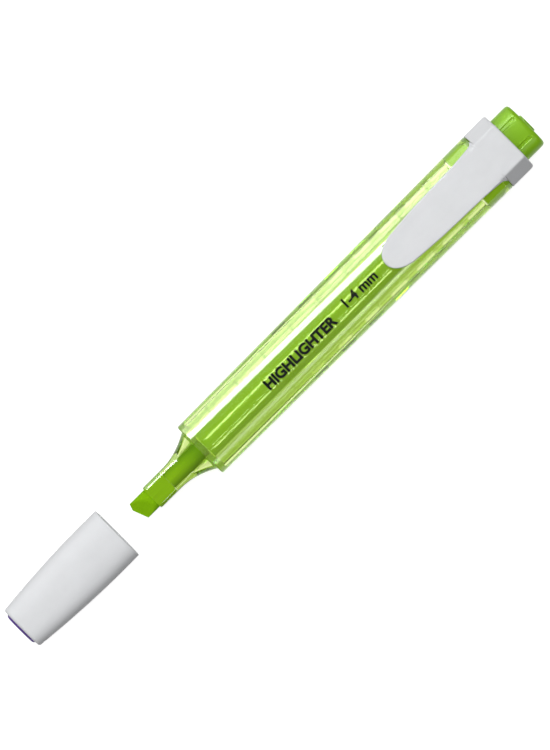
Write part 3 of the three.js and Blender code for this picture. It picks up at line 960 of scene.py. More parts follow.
    def shape_cavity(self, grid: Floats) -> Floats:
        """Raises the rails, ribs and ring lines from the plain inside.

        A ring line shrinks the ring by its height. A rib lowers the wall where |y - y0| is under its
        half width, by its depth, with its end sloped by its tilt.

        Args:
            grid: the plain inside, rings by points by (x, y, z).

        Returns:
            The shaped inside, in the same layout.
        """
        x = grid[:, 0, 0]
        half = self.body_width(x) / 2 - self.side_wall
        rail_y, rail_z = self.rail_points(half, np.full_like(x, self.thickness / 2 - self.wall), x)
        share = self.run(x, self.rail_from, self.rail_to)
        across, side = self.layout()
        y, z = grid[..., 1].copy(), grid[..., 2].copy()
        for start, sign in ((len(across), -1), (2 * len(across) + len(side), 1)):
            columns = slice(start, start + len(side))
            step = slice(None, None, -1) if sign < 0 else slice(None)
            y[:, columns] += (sign * rail_y[:, step] - y[:, columns]) * share
            z[:, columns] += (rail_z[:, step] - z[:, columns]) * share
        offset = np.abs(x[:, None] - self.line_places()).min(axis=1)
        ridge = self.line_depth * np.clip((0.165 - offset) / 0.09, 0, 1)[:, None]
        wall = np.abs(z) > self.rail_half + 0.3
        z = z - np.sign(z) * ridge * wall
        reach = self.run(x, self.rib_from, self.rib_to)
        for rib in self.ribs:
            for sign in (1, -1):
                offset = y - sign * rib.place
                bump = np.clip((rib.half - np.abs(offset)) / 0.015, 0, 1)
                lowered = z - sign * bump * reach * (rib.depth - rib.tilt * sign * offset)
                z = np.where((sign * z > 0) & (np.abs(y) < 3.1), lowered, z)
        return np.stack([grid[..., 0], y, z], axis=-1)

    def build(self) -> bpy.types.Object:
        """Makes the barrel and puts it in its CAD part's place.

        Returns:
            The new object.
        """
        outer = profile([*self.outer_rings(), *self.inner_rings()], closed=False)
        x = self.cavity_x()
        half_width = self.body_width(x) / 2 - self.side_wall
        half_thickness = np.full_like(x, self.thickness / 2 - self.wall)
        cavity = np.stack([x, half_width, half_thickness, np.full_like(x, self.cavity_power)], axis=1)
        shaped = self.shape_cavity(self.rings_of_points(cavity))
        grid = np.concatenate([self.rings_of_points(outer), shaped])
        faces = grid_quads(grid.shape[0], grid.shape[1], closed=True).tolist()
        piece = make_piece("barrel_shell", grid.reshape(-1, 3), faces, CLEAR_GREEN.material())
        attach(piece, "pen")
        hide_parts("barrel")
        return piece


# ---- The nib and its holder ----


@dataclass
class NibHolder:
    """The see-through front: a short nose, a trumpet that flares to the barrel, and the plug inside it.

    The nib's rod runs through it in a close bore, and a hollow beside the bore on each side saves plastic.

    Attributes:
        nose_back, nose_width, nose_thickness, nose_power: where the nose ends, and its section.
        mouth_width, mouth_thickness, mouth_power: the trumpet's section at the barrel's front face.
        plug_width, plug_thickness, plug_power, plug_end: the plug inside the barrel, and where it ends.
        flare: the power by which the trumpet grows.
        wall, bore: the skin's thickness, and the rod's bore.
        pocket_front, pocket_back, pocket_edge: where the hollows run, and how close to the axis they come.
        slot_width, slot_thickness, slot_power, slot_end: the slot that holds the nib.
        seat, seat_front: the round seat behind the bore.
    """

    nose_back: float = -8.5
    nose_width: float = 6.0
    nose_thickness: float = 5.2
    nose_power: float = 6.5
    mouth_width: float = 11.2
    mouth_thickness: float = 8.3
    mouth_power: float = 3.6
    plug_width: float = 12.25
    plug_thickness: float = 8.94
    plug_power: float = 4.6
    plug_end: float = 1.6
    flare: float = 1.9
    wall: float = 1.2
    bore: float = 3.75
    pocket_front: float = -4.4
    pocket_back: float = -0.2
    pocket_edge: float = 1.95
    slot_width: float = 5.1
    slot_thickness: float = 3.9
    slot_power: float = 8.0
    slot_end: float = -9.45
    seat: float = 7.1
    seat_front: float = 1.25

    def outside_at(self, x: float, ease: float = 0.0) -> Ring:
        """Gives the outer skin: its size grows with the share of the trumpet behind it, to a power.

        Args:
            x: the place along the axis.
            ease: how much the corner there is rounded.

        Returns:
            The section.
        """
        share = max((x - self.nose_back) / -self.nose_back, 0.0)
        grown = share**self.flare
        width = self.nose_width + (self.mouth_width - self.nose_width) * grown
        thickness = self.nose_thickness + (self.mouth_thickness - self.nose_thickness) * grown
        power = self.mouth_power + 4.4 * max(0.0, (-4.0 - x) / 4.5) ** 1.5
        return Ring(x, width, thickness, min(power, self.nose_power), ease)

    def rings(self) -> list[Ring]:
        """Gives the profile, outside from the nose to the back and then inside to the front again.

        Returns:
            The profile's corners in order.
        """
        nose, back = PEN.along("nib_holder")[0], self.plug_end
        return [
            Ring(nose, self.slot_width, self.slot_thickness, self.slot_power, 0.05),
            Ring(nose, self.nose_width, self.nose_thickness, self.nose_power, 0.55),
            *[self.outside_at(float(x)) for x in np.linspace(self.nose_back - 0.6, -0.25, 18)],
            Ring(0.1, self.mouth_width, self.mouth_thickness, self.mouth_power, 0.05),
            Ring(0.25, self.plug_width, self.plug_thickness, self.plug_power, 0.1),
            Ring(back, self.plug_width, self.plug_thickness, self.plug_power, 0.04),
            Ring.circle(back, self.seat, 0.04),
            Ring.circle(self.seat_front, self.seat, 0.1),
            Ring.circle(self.seat_front, self.bore, 0.05),
            Ring.circle(self.slot_end, self.bore, 0.05),
            Ring(self.slot_end, self.slot_width, self.slot_thickness, self.slot_power, 0.05),
        ]

    def pocket(self, side: int) -> Floats:
        """Gives the hollow beside the bore: an oval that widens with the flare.

        Its inner edge keeps its distance from the axis and its outer edge follows the skin's wall.

        Args:
            side: 1 for the +Y side and -1 for the other.

        Returns:
            A grid of rings by points by (x, y, z).
        """
        x = np.linspace(self.pocket_front, self.pocket_back, 14)
        outer = np.array([self.outside_at(float(value)).width / 2 - self.wall for value in x])
        half = np.maximum((outer - self.pocket_edge) / 2, 0.02)
        thickness = np.linspace(1.6, 2.8, len(x))
        grid = swept(np.stack([x, half, thickness, np.full_like(x, 4.5)], axis=1), 48)
        grid[..., 1] += side * (self.pocket_edge + half)[:, None]
        return grid

    def build(self) -> bpy.types.Object:
        """Makes the holder and puts it in its CAD part's place.

        Returns:
            The new object.
        """
        grid = swept(profile(self.rings(), closed=True), 144)
        points = grid.reshape(-1, 3)
        faces = facing(points, grid_quads(grid.shape[0], 144, closed=True).tolist())
        for side in (1, -1):
            hollow, walls = with_poles(self.pocket(side), first=len(points))
            points = np.concatenate([points, hollow])
            faces += facing(points, walls, outwards=False)
        piece = make_piece("nib_holder_shell", points, faces, CLEAR_GREEN.material())
        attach(piece, "pen")
        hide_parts("nib_holder")
        return piece


@dataclass
class Nib:
    """The felt nib: an oval rod with a slanted chisel, and a round tail that reaches the reservoir.

    Attributes:
        half_width, half_thickness: the oval's half sizes.
        flank, slant: the chisel's flank angle, and its writing edge's slant.
        corner_y, corner_slant: where the writing edge's corner is, and the slant beyond it.
        overlap: how far the oval reaches into the holder's nose.
        step: where the slot's block ends.
        slot_width, slot_thickness, slot_power: the block that fills the holder's slot.
        tube_radius, tube_end, tail_radius, tail_tip: the rod in the bore, its end, and the thinner tail.
        softness: how softly the flanks meet the oval.
    """

    half_width: float = span("nib")[0] / 2
    half_thickness: float = span("nib")[1] / 2
    flank: float = math.radians(30)
    slant: float = math.radians(21)
    corner_y: float = 1.03
    corner_slant: float = math.radians(19)
    overlap: float = 0.12
    step: float = -9.6
    slot_width: float = 5.16
    slot_thickness: float = 3.96
    slot_power: float = 8.0
    tube_radius: float = 1.9
    tube_end: float = 1.2
    tail_radius: float = 1.75
    tail_tip: float = 2.6
    softness: float = 0.09

    def front_at(self, y: Floats) -> tuple[Floats, Floats]:
        """Works out the nib's front: two straight lines that meet at the writing edge's corner.

        Args:
            y: places across.

        Returns:
            Where the outline starts, and where the writing edge's own line is.
        """
        tip = PEN.along("nib")[0]
        edge = tip + (self.corner_y - y) * math.tan(self.slant)
        corner = tip + (y - self.corner_y) * math.tan(self.corner_slant)
        return np.where(y < self.corner_y, edge, corner), edge

    def grid(self, rows: int = 64, around: int = 112) -> Floats:
        """Works out the body: an oval whose z is held under the chisel's flanks.

        Row u runs from the front outline to the nose: x = front + u^1.4 (nose - front). The flank's height
        is the distance to the writing edge times the flank's tangent, and the two heights are joined by
        the soft minimum -s log(exp(-h1/s) + exp(-h2/s)).

        Args:
            rows: how many rings it has.
            around: points on each ring.

        Returns:
            A grid of rings by points by (x, y, z).
        """
        t = np.arange(around) / around * 2 * np.pi
        y = self.half_width * np.cos(t)
        oval = self.half_thickness * np.abs(np.sin(t)) ** 0.8
        front, edge = self.front_at(y)
        u = np.linspace(0, 1, rows)[:, None] ** 1.4
        x = front + u * (PEN.along("nib_holder")[0] + self.overlap - front)
        flank = np.maximum(x - edge, 0) * math.cos(self.slant) * math.tan(self.flank)
        s = self.softness
        height = -s * np.log(np.exp(-flank / s) + np.exp(-oval / s)) + s * math.log(2) * np.exp(-flank / s)
        z = np.sign(np.sin(t)) * np.clip(height, 0, None)
        return np.stack([x, np.broadcast_to(y, x.shape), z], axis=-1)

    def build(self) -> bpy.types.Object:
        """Makes the nib and puts it in its CAD part's place.

        Returns:
            The new object.
        """
        nose, end = PEN.along("nib_holder")[0], PEN.along("nib")[1]
        mouth, tube, tail = nose + self.overlap, 2 * self.tube_radius, 2 * self.tail_radius
        rings = [
            Ring(mouth, 2 * self.half_width, 2 * self.half_thickness),
            Ring(mouth, self.slot_width, self.slot_thickness, self.slot_power, 0.02),
            Ring(self.step, self.slot_width, self.slot_thickness, self.slot_power, 0.05),
            Ring.circle(self.step, tube, 0.1),
            Ring.circle(self.tube_end, tube, 0.1),
            Ring.circle(self.tube_end, tail, 0.05),
            Ring.circle(end, tail, 0.2),
            Ring.circle(end, self.tail_tip),
        ]
        body = self.grid()
        rod = swept(profile(rings, closed=False)[1:], body.shape[1])
        points, faces = zipped(np.concatenate([body, rod]))
        piece = make_piece("nib_felt", points, faces, NIB_INK.material())
        # The rod inside the holder gets the lighter, glowing copy of the ink: painted light.
        dress_part(piece, NIB_CORE_LIT_INK.material(), nose, end + 1)
        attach(piece, "pen")
        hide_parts("nib")
        return piece


def zipped(grid: Floats) -> tuple[Floats, list[list[int]]]:
    """Closes a grid of rings: its first ring straight across and its last with a pole.

    The first ring's points i and i + 1 are joined to n - i - 1 and n - i on its other half, which leaves a
    triangle at each end.

    Args:
        grid: rings by points by (x, y, z), with an even number n of points.

    Returns:
        The points and the faces.
    """
    rows, columns = grid.shape[:2]
    points = np.concatenate([grid.reshape(-1, 3), grid[-1:].mean(axis=1)])
    i = np.arange(columns // 2)
    across = np.stack([(columns - i) % columns, columns - i - 1, i + 1, i], axis=-1)
    faces = grid_quads(rows, columns, closed=False).tolist()
    faces += across[1:-1].tolist() + across[:1, 1:].tolist() + across[-1:, [0, 2, 3]].tolist()
    faces += end_fan((rows - 1) * columns, columns, rows * columns)[:, ::-1].tolist()
    return points, faces


# ---- The ink ----


@dataclass
class Reservoir:
    """The fibre rod that holds the ink, and the clear film wrapped round it.

    Attributes:
        radius: the rod's radius.
        film_radius, film_thickness: the film's outside radius and its thickness.
        pocket, hole: how deep and wide the hole for the nib's tail is, from the rod's front.
    """

    radius: float = span("ink_reservoir")[0] / 2
    film_radius: float = 3.4
    film_thickness: float = 0.2
    pocket: float = 9.4
    hole: float = 3.75

    def build_fibre(self) -> bpy.types.Object:
        """Makes the fibre rod and puts it in its CAD part's place.

        Returns:
            The new object.
        """
        start, end = PEN.along("ink_reservoir")
        width = 2 * self.radius
        rings = [
            Ring.circle(self.pocket, 0.4),
            Ring.circle(self.pocket, self.hole, 0.1),
            Ring.circle(start, self.hole, 0.2),
            Ring.circle(start, width, 0.25),
            Ring.circle(end, width, 0.25),
            Ring.circle(end, 1.0),
        ]
        piece = solid_piece("reservoir_fibre", rings, STORED_INK.material(), around=96)
        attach(piece, "pen")
        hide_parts("ink_reservoir")
        return piece

    def build_film(self) -> bpy.types.Object:
        """Makes the film and puts it in its CAD part's place.

        Returns:
            The new object.
        """
        start, end = PEN.along("reservoir_film")
        outside = 2 * self.film_radius
        inside = outside - 2 * self.film_thickness
        corners = ((start, outside), (end, outside), (end, inside), (start, inside))
        rings = [Ring.circle(x, size, 0.05) for x, size in corners]
        piece = shell_piece("reservoir_film_tube", rings, CLEAR_FILM.material(), around=160)
        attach(piece, "pen")
        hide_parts("reservoir_film")
        return piece


# ---- The tail: end plug and clip ----


@dataclass
class EndPlug:
    """The solid green plug that closes the barrel, with a grooved head.

    Attributes:
        head_width, head_thickness, head_power, head_start, head_end: the head outside the collar.
        skirt_width, skirt_thickness, wall, hollow_end: the skirt in the neck and the hollow inside it.
        block_width, block_thickness, block_end: the block that fills the barrel's tail.
        shoulder: x, width and thickness where the block has narrowed to the barrel's neck.
        boss_width, boss_thickness: the low boss on the head.
        groove_y, groove_half, groove_depth: the grooves' places across, half width and depth.
        head_rows: how many rows the grooved stretch has.
    """

    head_width: float = span("end_plug")[0]
    head_thickness: float = span("end_plug")[1]
    head_power: float = 3.4
    skirt_width: float = 11.05
    skirt_thickness: float = 6.9
    block_width: float = 13.42
    block_thickness: float = 8.92
    block_end: float = 87.66
    shoulder: Triple = (88.66, 11.44, 7.28)
    wall: float = 1.0
    head_start: float = 94.05
    head_end: float = 100.25
    hollow_end: float = 97.2
    boss_width: float = 4.6
    boss_thickness: float = 3.6
    groove_y: float = 2.7
    groove_half: float = 0.48
    groove_depth: float = 0.16
    head_rows: int = 24

    def rings(self) -> list[Ring]:
        """Gives the profile from the bottom of the hollow, out over the skirt and head, to the boss.

        Returns:
            The profile's corners in order.
        """
        start, end = PEN.along("end_plug")
        inner = (self.skirt_width - 2 * self.wall, self.skirt_thickness - 2 * self.wall)
        return [
            Ring(self.hollow_end, 1.0, 0.5, 2.5),
            Ring(self.hollow_end, *inner, 3.0, 0.4),
            Ring(start, *inner, 3.0, 0.15),
            Ring(start, self.block_width, self.block_thickness, 4.6, 0.1),
            Ring(self.block_end, self.block_width, self.block_thickness, 4.6, 0.3),
            Ring(*self.shoulder, 3.2, 0.2),
            Ring(self.shoulder[0], self.skirt_width, self.skirt_thickness, 3.0, 0.1),
            Ring(self.head_start, self.skirt_width, self.skirt_thickness, 3.0, 0.05),
            Ring(self.head_start, self.head_width, self.head_thickness, self.head_power, 0.2),
            Ring(self.head_end, self.head_width, self.head_thickness, self.head_power, 0.95),
            Ring(self.head_end, self.boss_width + 0.4, self.boss_thickness + 0.4, 2.8, 0.1),
            Ring(self.head_end + 0.05, self.boss_width, self.boss_thickness, 2.8, 0.05),
            Ring(end, self.boss_width, self.boss_thickness, 2.8, 0.2),
            Ring(end, 1.0, 0.8, 2.5),
        ]

    def table(self) -> Floats:
        """Gives the profile's rows, with close rows along the head for the grooves.

        Returns:
            One row for each ring: x, half width, half thickness, power.
        """
        table = profile(self.rings(), closed=False)
        x, half_width = table[:, 0], table[:, 1]
        close = np.linspace(self.head_start + 0.3, self.head_end - 1.1, self.head_rows)
        size = (self.head_width / 2, self.head_thickness / 2, self.head_power)
        straight = np.column_stack([close, np.tile(size, (len(close), 1))])
        outer = half_width > self.skirt_width / 2 + 0.1
        before = int(np.nonzero((x <= close[0]) & outer)[0][-1]) + 1
        kept = ~((x > close[0]) & (x < close[-1]) & outer)
        front, back = table[:before][kept[:before]], table[before:][kept[before:]]
        return np.concatenate([front, straight, back])

    def grooved(self, grid: Floats) -> Floats:
        """Cuts four grooves along the head: z comes in by depth times a smooth window in x and y.

        Args:
            grid: the plain plug, rings by points by (x, y, z).

        Returns:
            The grooved plug, in the same layout.
        """
        x, y, z = grid[..., 0], grid[..., 1], grid[..., 2]
        first, last = self.head_start + 0.35, self.head_end - 1.2
        outside = np.abs(z) > self.skirt_thickness / 2 + 0.3
        along = np.clip(np.minimum(x - first, last - x) / 0.25, 0, 1)
        across = np.clip((self.groove_half - np.abs(np.abs(y) - self.groove_y)) / 0.12, 0, 1)
        cut = self.groove_depth * along * across * outside
        return np.stack([x, y, z - np.sign(z) * cut], axis=-1)

    def build(self) -> bpy.types.Object:
        """Makes the plug and puts it in its CAD part's place.

        Returns:
            The new object.
        """
        points, faces = with_poles(self.grooved(swept(self.table(), 288)))
        piece = make_piece("end_plug_body", points, faces, SOLID_GREEN.material())
        # The block inside the barrel gets the lighter, glowing copy of the plug's green: painted light.
        dress_part(piece, PLUG_BLOCK_LIT.material(), 80.0, PEN.along("clip_collar")[0])
        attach(piece, "pen")
        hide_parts("end_plug")
        return piece


@dataclass
class Clip:
    """The pocket clip: a collar round the barrel's neck with a raised face, and a tongue over the barrel.

    Attributes:
        collar_width, body_thickness: the collar's full size, without its raised face.
        face_half, facet_foot: the face's half width, and how high the facets' feet are.
        bore_width, bore_thickness: the collar's bore on the neck.
        lip_width, lip_thickness, lip_start: the narrower lip behind the neck.
        tongue_thickness, crown, edge: the tongue's thickness, its crown's height and its edges' radius.
        tip_length: how long the tongue's rounded tip is.
        softness: how softly the face turns into its facets.
    """

    collar_width: float = span("clip_collar")[0]
    body_thickness: float = span("barrel")[1]
    face_half: float = 4.75
    facet_foot: float = 0.8
    bore_width: float = 13.45
    bore_thickness: float = 9.3
    lip_width: float = 12.1
    lip_thickness: float = 8.9
    lip_start: float = 94.05
    tongue_thickness: float = 1.45
    crown: float = 0.05
    edge: float = 0.34
    tip_length: float = 4.8
    softness: float = 0.12

    @property
    def face_top(self) -> float:
        """Gives the height of the clip's face above the axis."""
        return (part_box("clip_tongue")[1].z - PEN.height) / MM

    def collar_loop(self, around: int) -> Floats:
        """Gives the collar's outside, scaled to 1 at its largest, as (y, z) round the ring.

        The lower part is the barrel's superellipse. Over the front it is the larger of that and a saddle:
        a flat face with a slanted facet down to each side, with the corners rounded by the soft minimum.

        Args:
            around: how many points it has.

        Returns:
            An array of points by (y, z).
        """
        turns = np.arange(around) / around
        half, thick = self.collar_width / 2, self.body_thickness / 2
        one = np.ones(1)
        loop = superellipse(half * one, thick * one, 3.0 * one, turns)[0]
        y, z = loop[:, 0], loop[:, 1]
        rise = (self.facet(y) - self.face_top) / self.softness
        saddle = self.face_top - 0.03 - self.softness * np.log(np.exp(-rise) + 1.0)
        raised = np.maximum(saddle, z)
        share = np.clip((z - self.facet_foot) / 1.2, 0, 1)
        share = share * share * (3 - 2 * share)
        return np.stack([y, z + (raised - z) * share], axis=1)

    def collar(self) -> bpy.types.Object:
        """Makes the collar: its outside loop swept along x with eased ends, and its bore and lip inside.

        Returns:
            The new object.
        """
        start, end = PEN.along("clip_collar")
        around = 256
        loop = self.collar_loop(around)
        outer = []
        places = ((start, 0.12), (start + 0.04, 0.03), (start + 0.12, 0.0), (end - 0.6, 0.0))
        rounding = ((end - 0.3, 0.06), (end - 0.12, 0.18), (end - 0.03, 0.32), (end, 0.5))
        for x, inset in (*places, *rounding):
            size = np.array([1 - 2 * inset / self.collar_width, 1 - 2 * inset / self.body_thickness])
            outer.append(np.concatenate([np.full((around, 1), x), loop * size], axis=1))
        inside = profile(
            [
                Ring(end, self.lip_width, self.lip_thickness, 3.4, 0.1),
                Ring(self.lip_start, self.lip_width, self.lip_thickness, 3.4, 0.05),
                Ring(self.lip_start, self.bore_width, self.bore_thickness, 3.0, 0.05),
                Ring(start, self.bore_width, self.bore_thickness, 3.0, 0.1),
            ],
            closed=False,
        )
        grid = np.concatenate([np.array(outer), swept(inside, around)])
        faces = grid_quads(grid.shape[0], around, closed=True).tolist()
        return make_piece("clip_body", grid.reshape(-1, 3), faces, PALE_GREY.material())

    def facet(self, y: Floats) -> Floats:
        """Gives the height of the collar's slanted side facet at y.

        Args:
            y: places across.

        Returns:
            The height at each place.
        """
        half = self.collar_width / 2
        slope = (self.face_top - self.facet_foot - 2.6) / (half - 0.25 - self.face_half)
        return self.face_top - (np.abs(y) - self.face_half) * slope

    def half_width_at(self, x: Floats) -> Floats:
        """Gives the tongue's half width: a rounded tip, slowly curving sides and a fillet at the root.

        The tip is a superellipse, the sides widen from 3.3 to 5.3 mm, and the fillet is 0.7 exp(-d/0.35)
        where d is the distance to the root. Over the collar it is the face's own width.

        Args:
            x: places along the axis.

        Returns:
            The half width at each place.
        """
        tip, root = PEN.along("clip_tongue")
        places = [tip, 61.5, 64.8, 70.0, 75.0, 82.7, 86.0, root]
        sides = np.interp(x, places, [3.3, 3.85, 4.15, 4.5, 4.65, 4.85, 5.1, 5.3])
        reach = np.clip((x - tip) / self.tip_length, 0, 1)
        rounded = (1 - (1 - reach) ** 2.2) ** (1 / 2.2)
        fillet = 0.7 * np.exp(np.minimum(x - root, 0.0) / 0.35)
        over = np.clip((x - root - 0.15) / 0.2, 0, 1)
        return (sides * rounded + fillet) * (1 - over) + self.face_half * over

    def bar_loops(self, half: Floats, thick: Floats, radius: float) -> Floats:
        """Works out rounded rectangles: flats between four quarter circles.

        Args:
            half: the half widths.
            thick: the half thicknesses.
            radius: the edges' radius.

        Returns:
            Loops by points by (y, z).
        """
        r = np.minimum(radius, np.minimum(half, thick) * 0.98)[:, None]
        arc = np.linspace(0, np.pi / 2, 7)
        flat = np.linspace(1, -1, 18)[1:-1]
        turn = np.concatenate([arc, np.full(16, np.pi / 2), arc + np.pi / 2])
        core_y = np.concatenate([np.ones(7), flat, -np.ones(7)])
        turn = np.concatenate([turn, turn + np.pi])
        core_z = np.concatenate([np.ones(30), -np.ones(30)])
        core_y = np.concatenate([core_y, -core_y])
        y = core_y * (half[:, None] - r) + r * np.cos(turn)
        z = core_z * (thick[:, None] - r) + r * np.sin(turn)
        return np.stack([y, z], axis=-1)

    def tongue(self) -> bpy.types.Object:
        """Makes the tongue: a flat, slightly crowned bar that runs on over the collar as its face.

        Over the collar it is only as thick as its face and stands a hair above it, and outside the face's
        width its top falls with the collar's facets.

        Returns:
            The new object.
        """
        tip, root = PEN.along("clip_tongue")
        end = PEN.along("clip_collar")[1]
        length, last_rows = root - tip, np.array([0.45, 0.2, 0.06, 0.0])
        near = np.linspace(0, 1, 28) ** 2 * self.tip_length
        along = np.linspace(self.tip_length, length - 1.5, 56)[1:]
        close = np.linspace(length - 1.5, length + 0.5, 24)[1:]
        far = np.concatenate([[2.0, 4.0], end - root - last_rows])
        x = tip + np.concatenate([near, along, close, length + far])
        half = np.maximum(self.half_width_at(x), 0.02)
        start = np.clip((x - tip) / 0.5, 0, 1)
        drop = np.interp(x, end - last_rows, [0.0, 0.06, 0.2, 0.4])
        thick = self.tongue_thickness / 2 * (0.4 + 0.6 * np.sqrt(start))
        loops = self.bar_loops(half - drop, thick, self.edge)
        middle = self.face_top - self.tongue_thickness / 2 - drop
        y, z = loops[..., 0], loops[..., 1] + middle[:, None]
        z = z - self.crown * np.clip(np.abs(y) / self.face_half, 0, 1) ** 2
        z = np.minimum(z, self.facet(y) + 0.01)
        grid = np.stack([np.broadcast_to(x[:, None], y.shape), y, z], axis=-1)
        points, faces = with_poles(grid)
        return make_piece("clip_tongue_bar", points, faces, PALE_GREY.material())

    def build(self) -> bpy.types.Object:
        """Joins the tongue to the collar in one moulding.

        Returns:
            The new object.
        """
        body, bar = self.collar(), self.tongue()
        union = body.modifiers.new("join", "BOOLEAN")
        union.operation = "UNION"
        union.solver = "MANIFOLD"
        union.object = bar
        graph = bpy.context.evaluated_depsgraph_get()
        joined = bpy.data.meshes.new_from_object(body.evaluated_get(graph))
        body.modifiers.clear()
        body.data = joined
        bpy.data.objects.remove(bar)
        root = PEN.along("clip_tongue")[1]
        start, end = PEN.place(np.array([[root + 0.1, 0, self.face_top], [root - 9.0, 0, self.face_top]]))
        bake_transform(body)
        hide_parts("clip_collar", "clip_tongue")
        return body


# ---- The cap ----


@dataclass
class Cap:
    """The pull-off cap: its shell, the seal inside it and the coloured insert in its closed end.

    Attributes:
        width, thickness, power: the section at the mouth.
        straight, taper_power, narrowing, thinning: how long the mouth stays straight, how the rest curves
            in, and by how much in all.
        wall, end_wall: how thick the sides and the closed end are.
        recess_width, recess_thickness, recess_power, recess_depth: the insert's recess.
        stem_hole, stem: the hole through the closed end and the insert's stem.
        seal_wall, seal_reach, seal_socket: the seal's wall, its cup's depth from the cap's mouth, and how
            far the socket behind its cup runs.
    """

    width: float = span("cap_shell")[0]
    thickness: float = span("cap_shell")[1]
    straight: float = 6.5
    taper_power: float = 1.7
    narrowing: float = 2.65
    thinning: float = 1.5
    wall: float = 0.85
    end_wall: float = 1.3
    power: float = 3.0
    recess_width: float = 8.7
    recess_thickness: float = 5.5
    recess_power: float = 2.1
    recess_depth: float = 0.55
    stem_hole: float = 3.7
    stem: float = 3.4
    seal_wall: float = 0.55
    seal_reach: float = 22.2
    seal_socket: float = 3.9

    def ring_at(self, x: float, inset: float = 0.0, ease: float = 0.0) -> Ring:
        """Gives the cap's section, straight at the mouth and curving in to the closed end.

        Args:
            x: the place along the axis.
            inset: how far inside the outer skin it is.
            ease: how much the corner there is rounded.

        Returns:
            The section.
        """
        end, mouth = PEN.along("cap_shell")
        share = max(0.0, (mouth - self.straight - x) / (mouth - self.straight - end))
        taper = share**self.taper_power
        width = self.width - self.narrowing * taper - 2 * inset
        return Ring(x, width, self.thickness - self.thinning * taper - 2 * inset, self.power, ease)

    def shell_rings(self) -> list[Ring]:
        """Gives the shell's profile: outside from the insert's recess to the mouth, then inside back.

        Returns:
            The profile's corners in order.
        """
        end, mouth = PEN.along("cap_shell")
        outside = [self.ring_at(float(x)) for x in np.linspace(end + 1.2, mouth - 1.0, 26)]
        inside = [self.ring_at(float(x), self.wall) for x in np.linspace(mouth - 1.0, end + 2.4, 22)]
        floor, bottom = end + self.end_wall, end + self.recess_depth
        recess = (self.recess_width, self.recess_thickness, self.recess_power)
        return [
            Ring(end, *recess, 0.05),
            self.ring_at(end, 0.0, 0.5),
            *outside,
            self.ring_at(mouth, 0.0, 0.3),
            self.ring_at(mouth, self.wall, 0.2),
            *inside,
            self.ring_at(floor, self.wall, 0.5),
            Ring.circle(floor, self.stem_hole, 0.05),
            Ring.circle(bottom, self.stem_hole, 0.05),
            Ring(bottom, *recess, 0.05),
        ]

    def build_shell(self) -> bpy.types.Object:
        """Makes the shell and puts it in its CAD part's place.

        Returns:
            The new object.
        """
        piece = shell_piece("cap_shell_body", self.shell_rings(), PALE_GREY.material(), around=160)
        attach(piece, "cap")
        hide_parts("cap_shell")
        return piece

    def build_seal(self) -> bpy.types.Object:
        """Makes the inner seal and puts it in its CAD part's place.

        Returns:
            The new object.
        """
        back, mouth = PEN.along("cap_inner_seal")
        width, thickness = span("cap_inner_seal")
        wall, floor = self.seal_wall, PEN.along("cap_shell")[1] - self.seal_reach
        rings = [
            Ring.circle(back + self.seal_socket, 1.0),
            Ring.circle(back + self.seal_socket, self.stem_hole, 0.1),
            Ring.circle(back, self.stem_hole, 0.1),
            Ring(back, width, thickness, 5.0, 0.3),
            Ring(mouth, width, thickness, 5.0, 0.15),
            Ring(mouth, width - wall, thickness - wall, 5.5, 0.1),
            Ring(mouth - 0.5, width - 2 * wall, thickness - 2 * wall, 6.0, 0.2),
            Ring(floor, width - 2 * wall, thickness - 2 * wall, 6.0, 0.5),
            Ring.circle(floor, 1.0),
        ]
        piece = solid_piece("cap_seal_cup", rings, SEAL_WHITE.material(), around=96)
        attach(piece, "cap")
        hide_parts("cap_inner_seal")
        return piece

    def build_insert(self) -> bpy.types.Object:
        """Makes the end insert and puts it in its CAD part's place.

        Returns:
            The new object.
        """
        face, stem_end = PEN.along("cap_end_insert")
        width, thickness = span("cap_end_insert")
        head_back = PEN.along("cap_shell")[0] + 0.4
        rings = [
            Ring(face, 1.0, 0.6),
            Ring(face, width - 0.8, thickness - 0.8, 2.0, 0.4),
            Ring(face + 0.35, width, thickness, 2.0, 0.2),
            Ring(head_back, width, thickness, 2.0, 0.05),
            Ring.circle(head_back, self.stem, 0.1),
            Ring.circle(stem_end, self.stem, 0.3),
            Ring.circle(stem_end, 1.0),
        ]
        piece = solid_piece("cap_insert_button", rings, VIOLET.material(), around=96)
        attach(piece, "cap")
        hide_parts("cap_end_insert")
        return piece


# ---- The print on the barrel ----


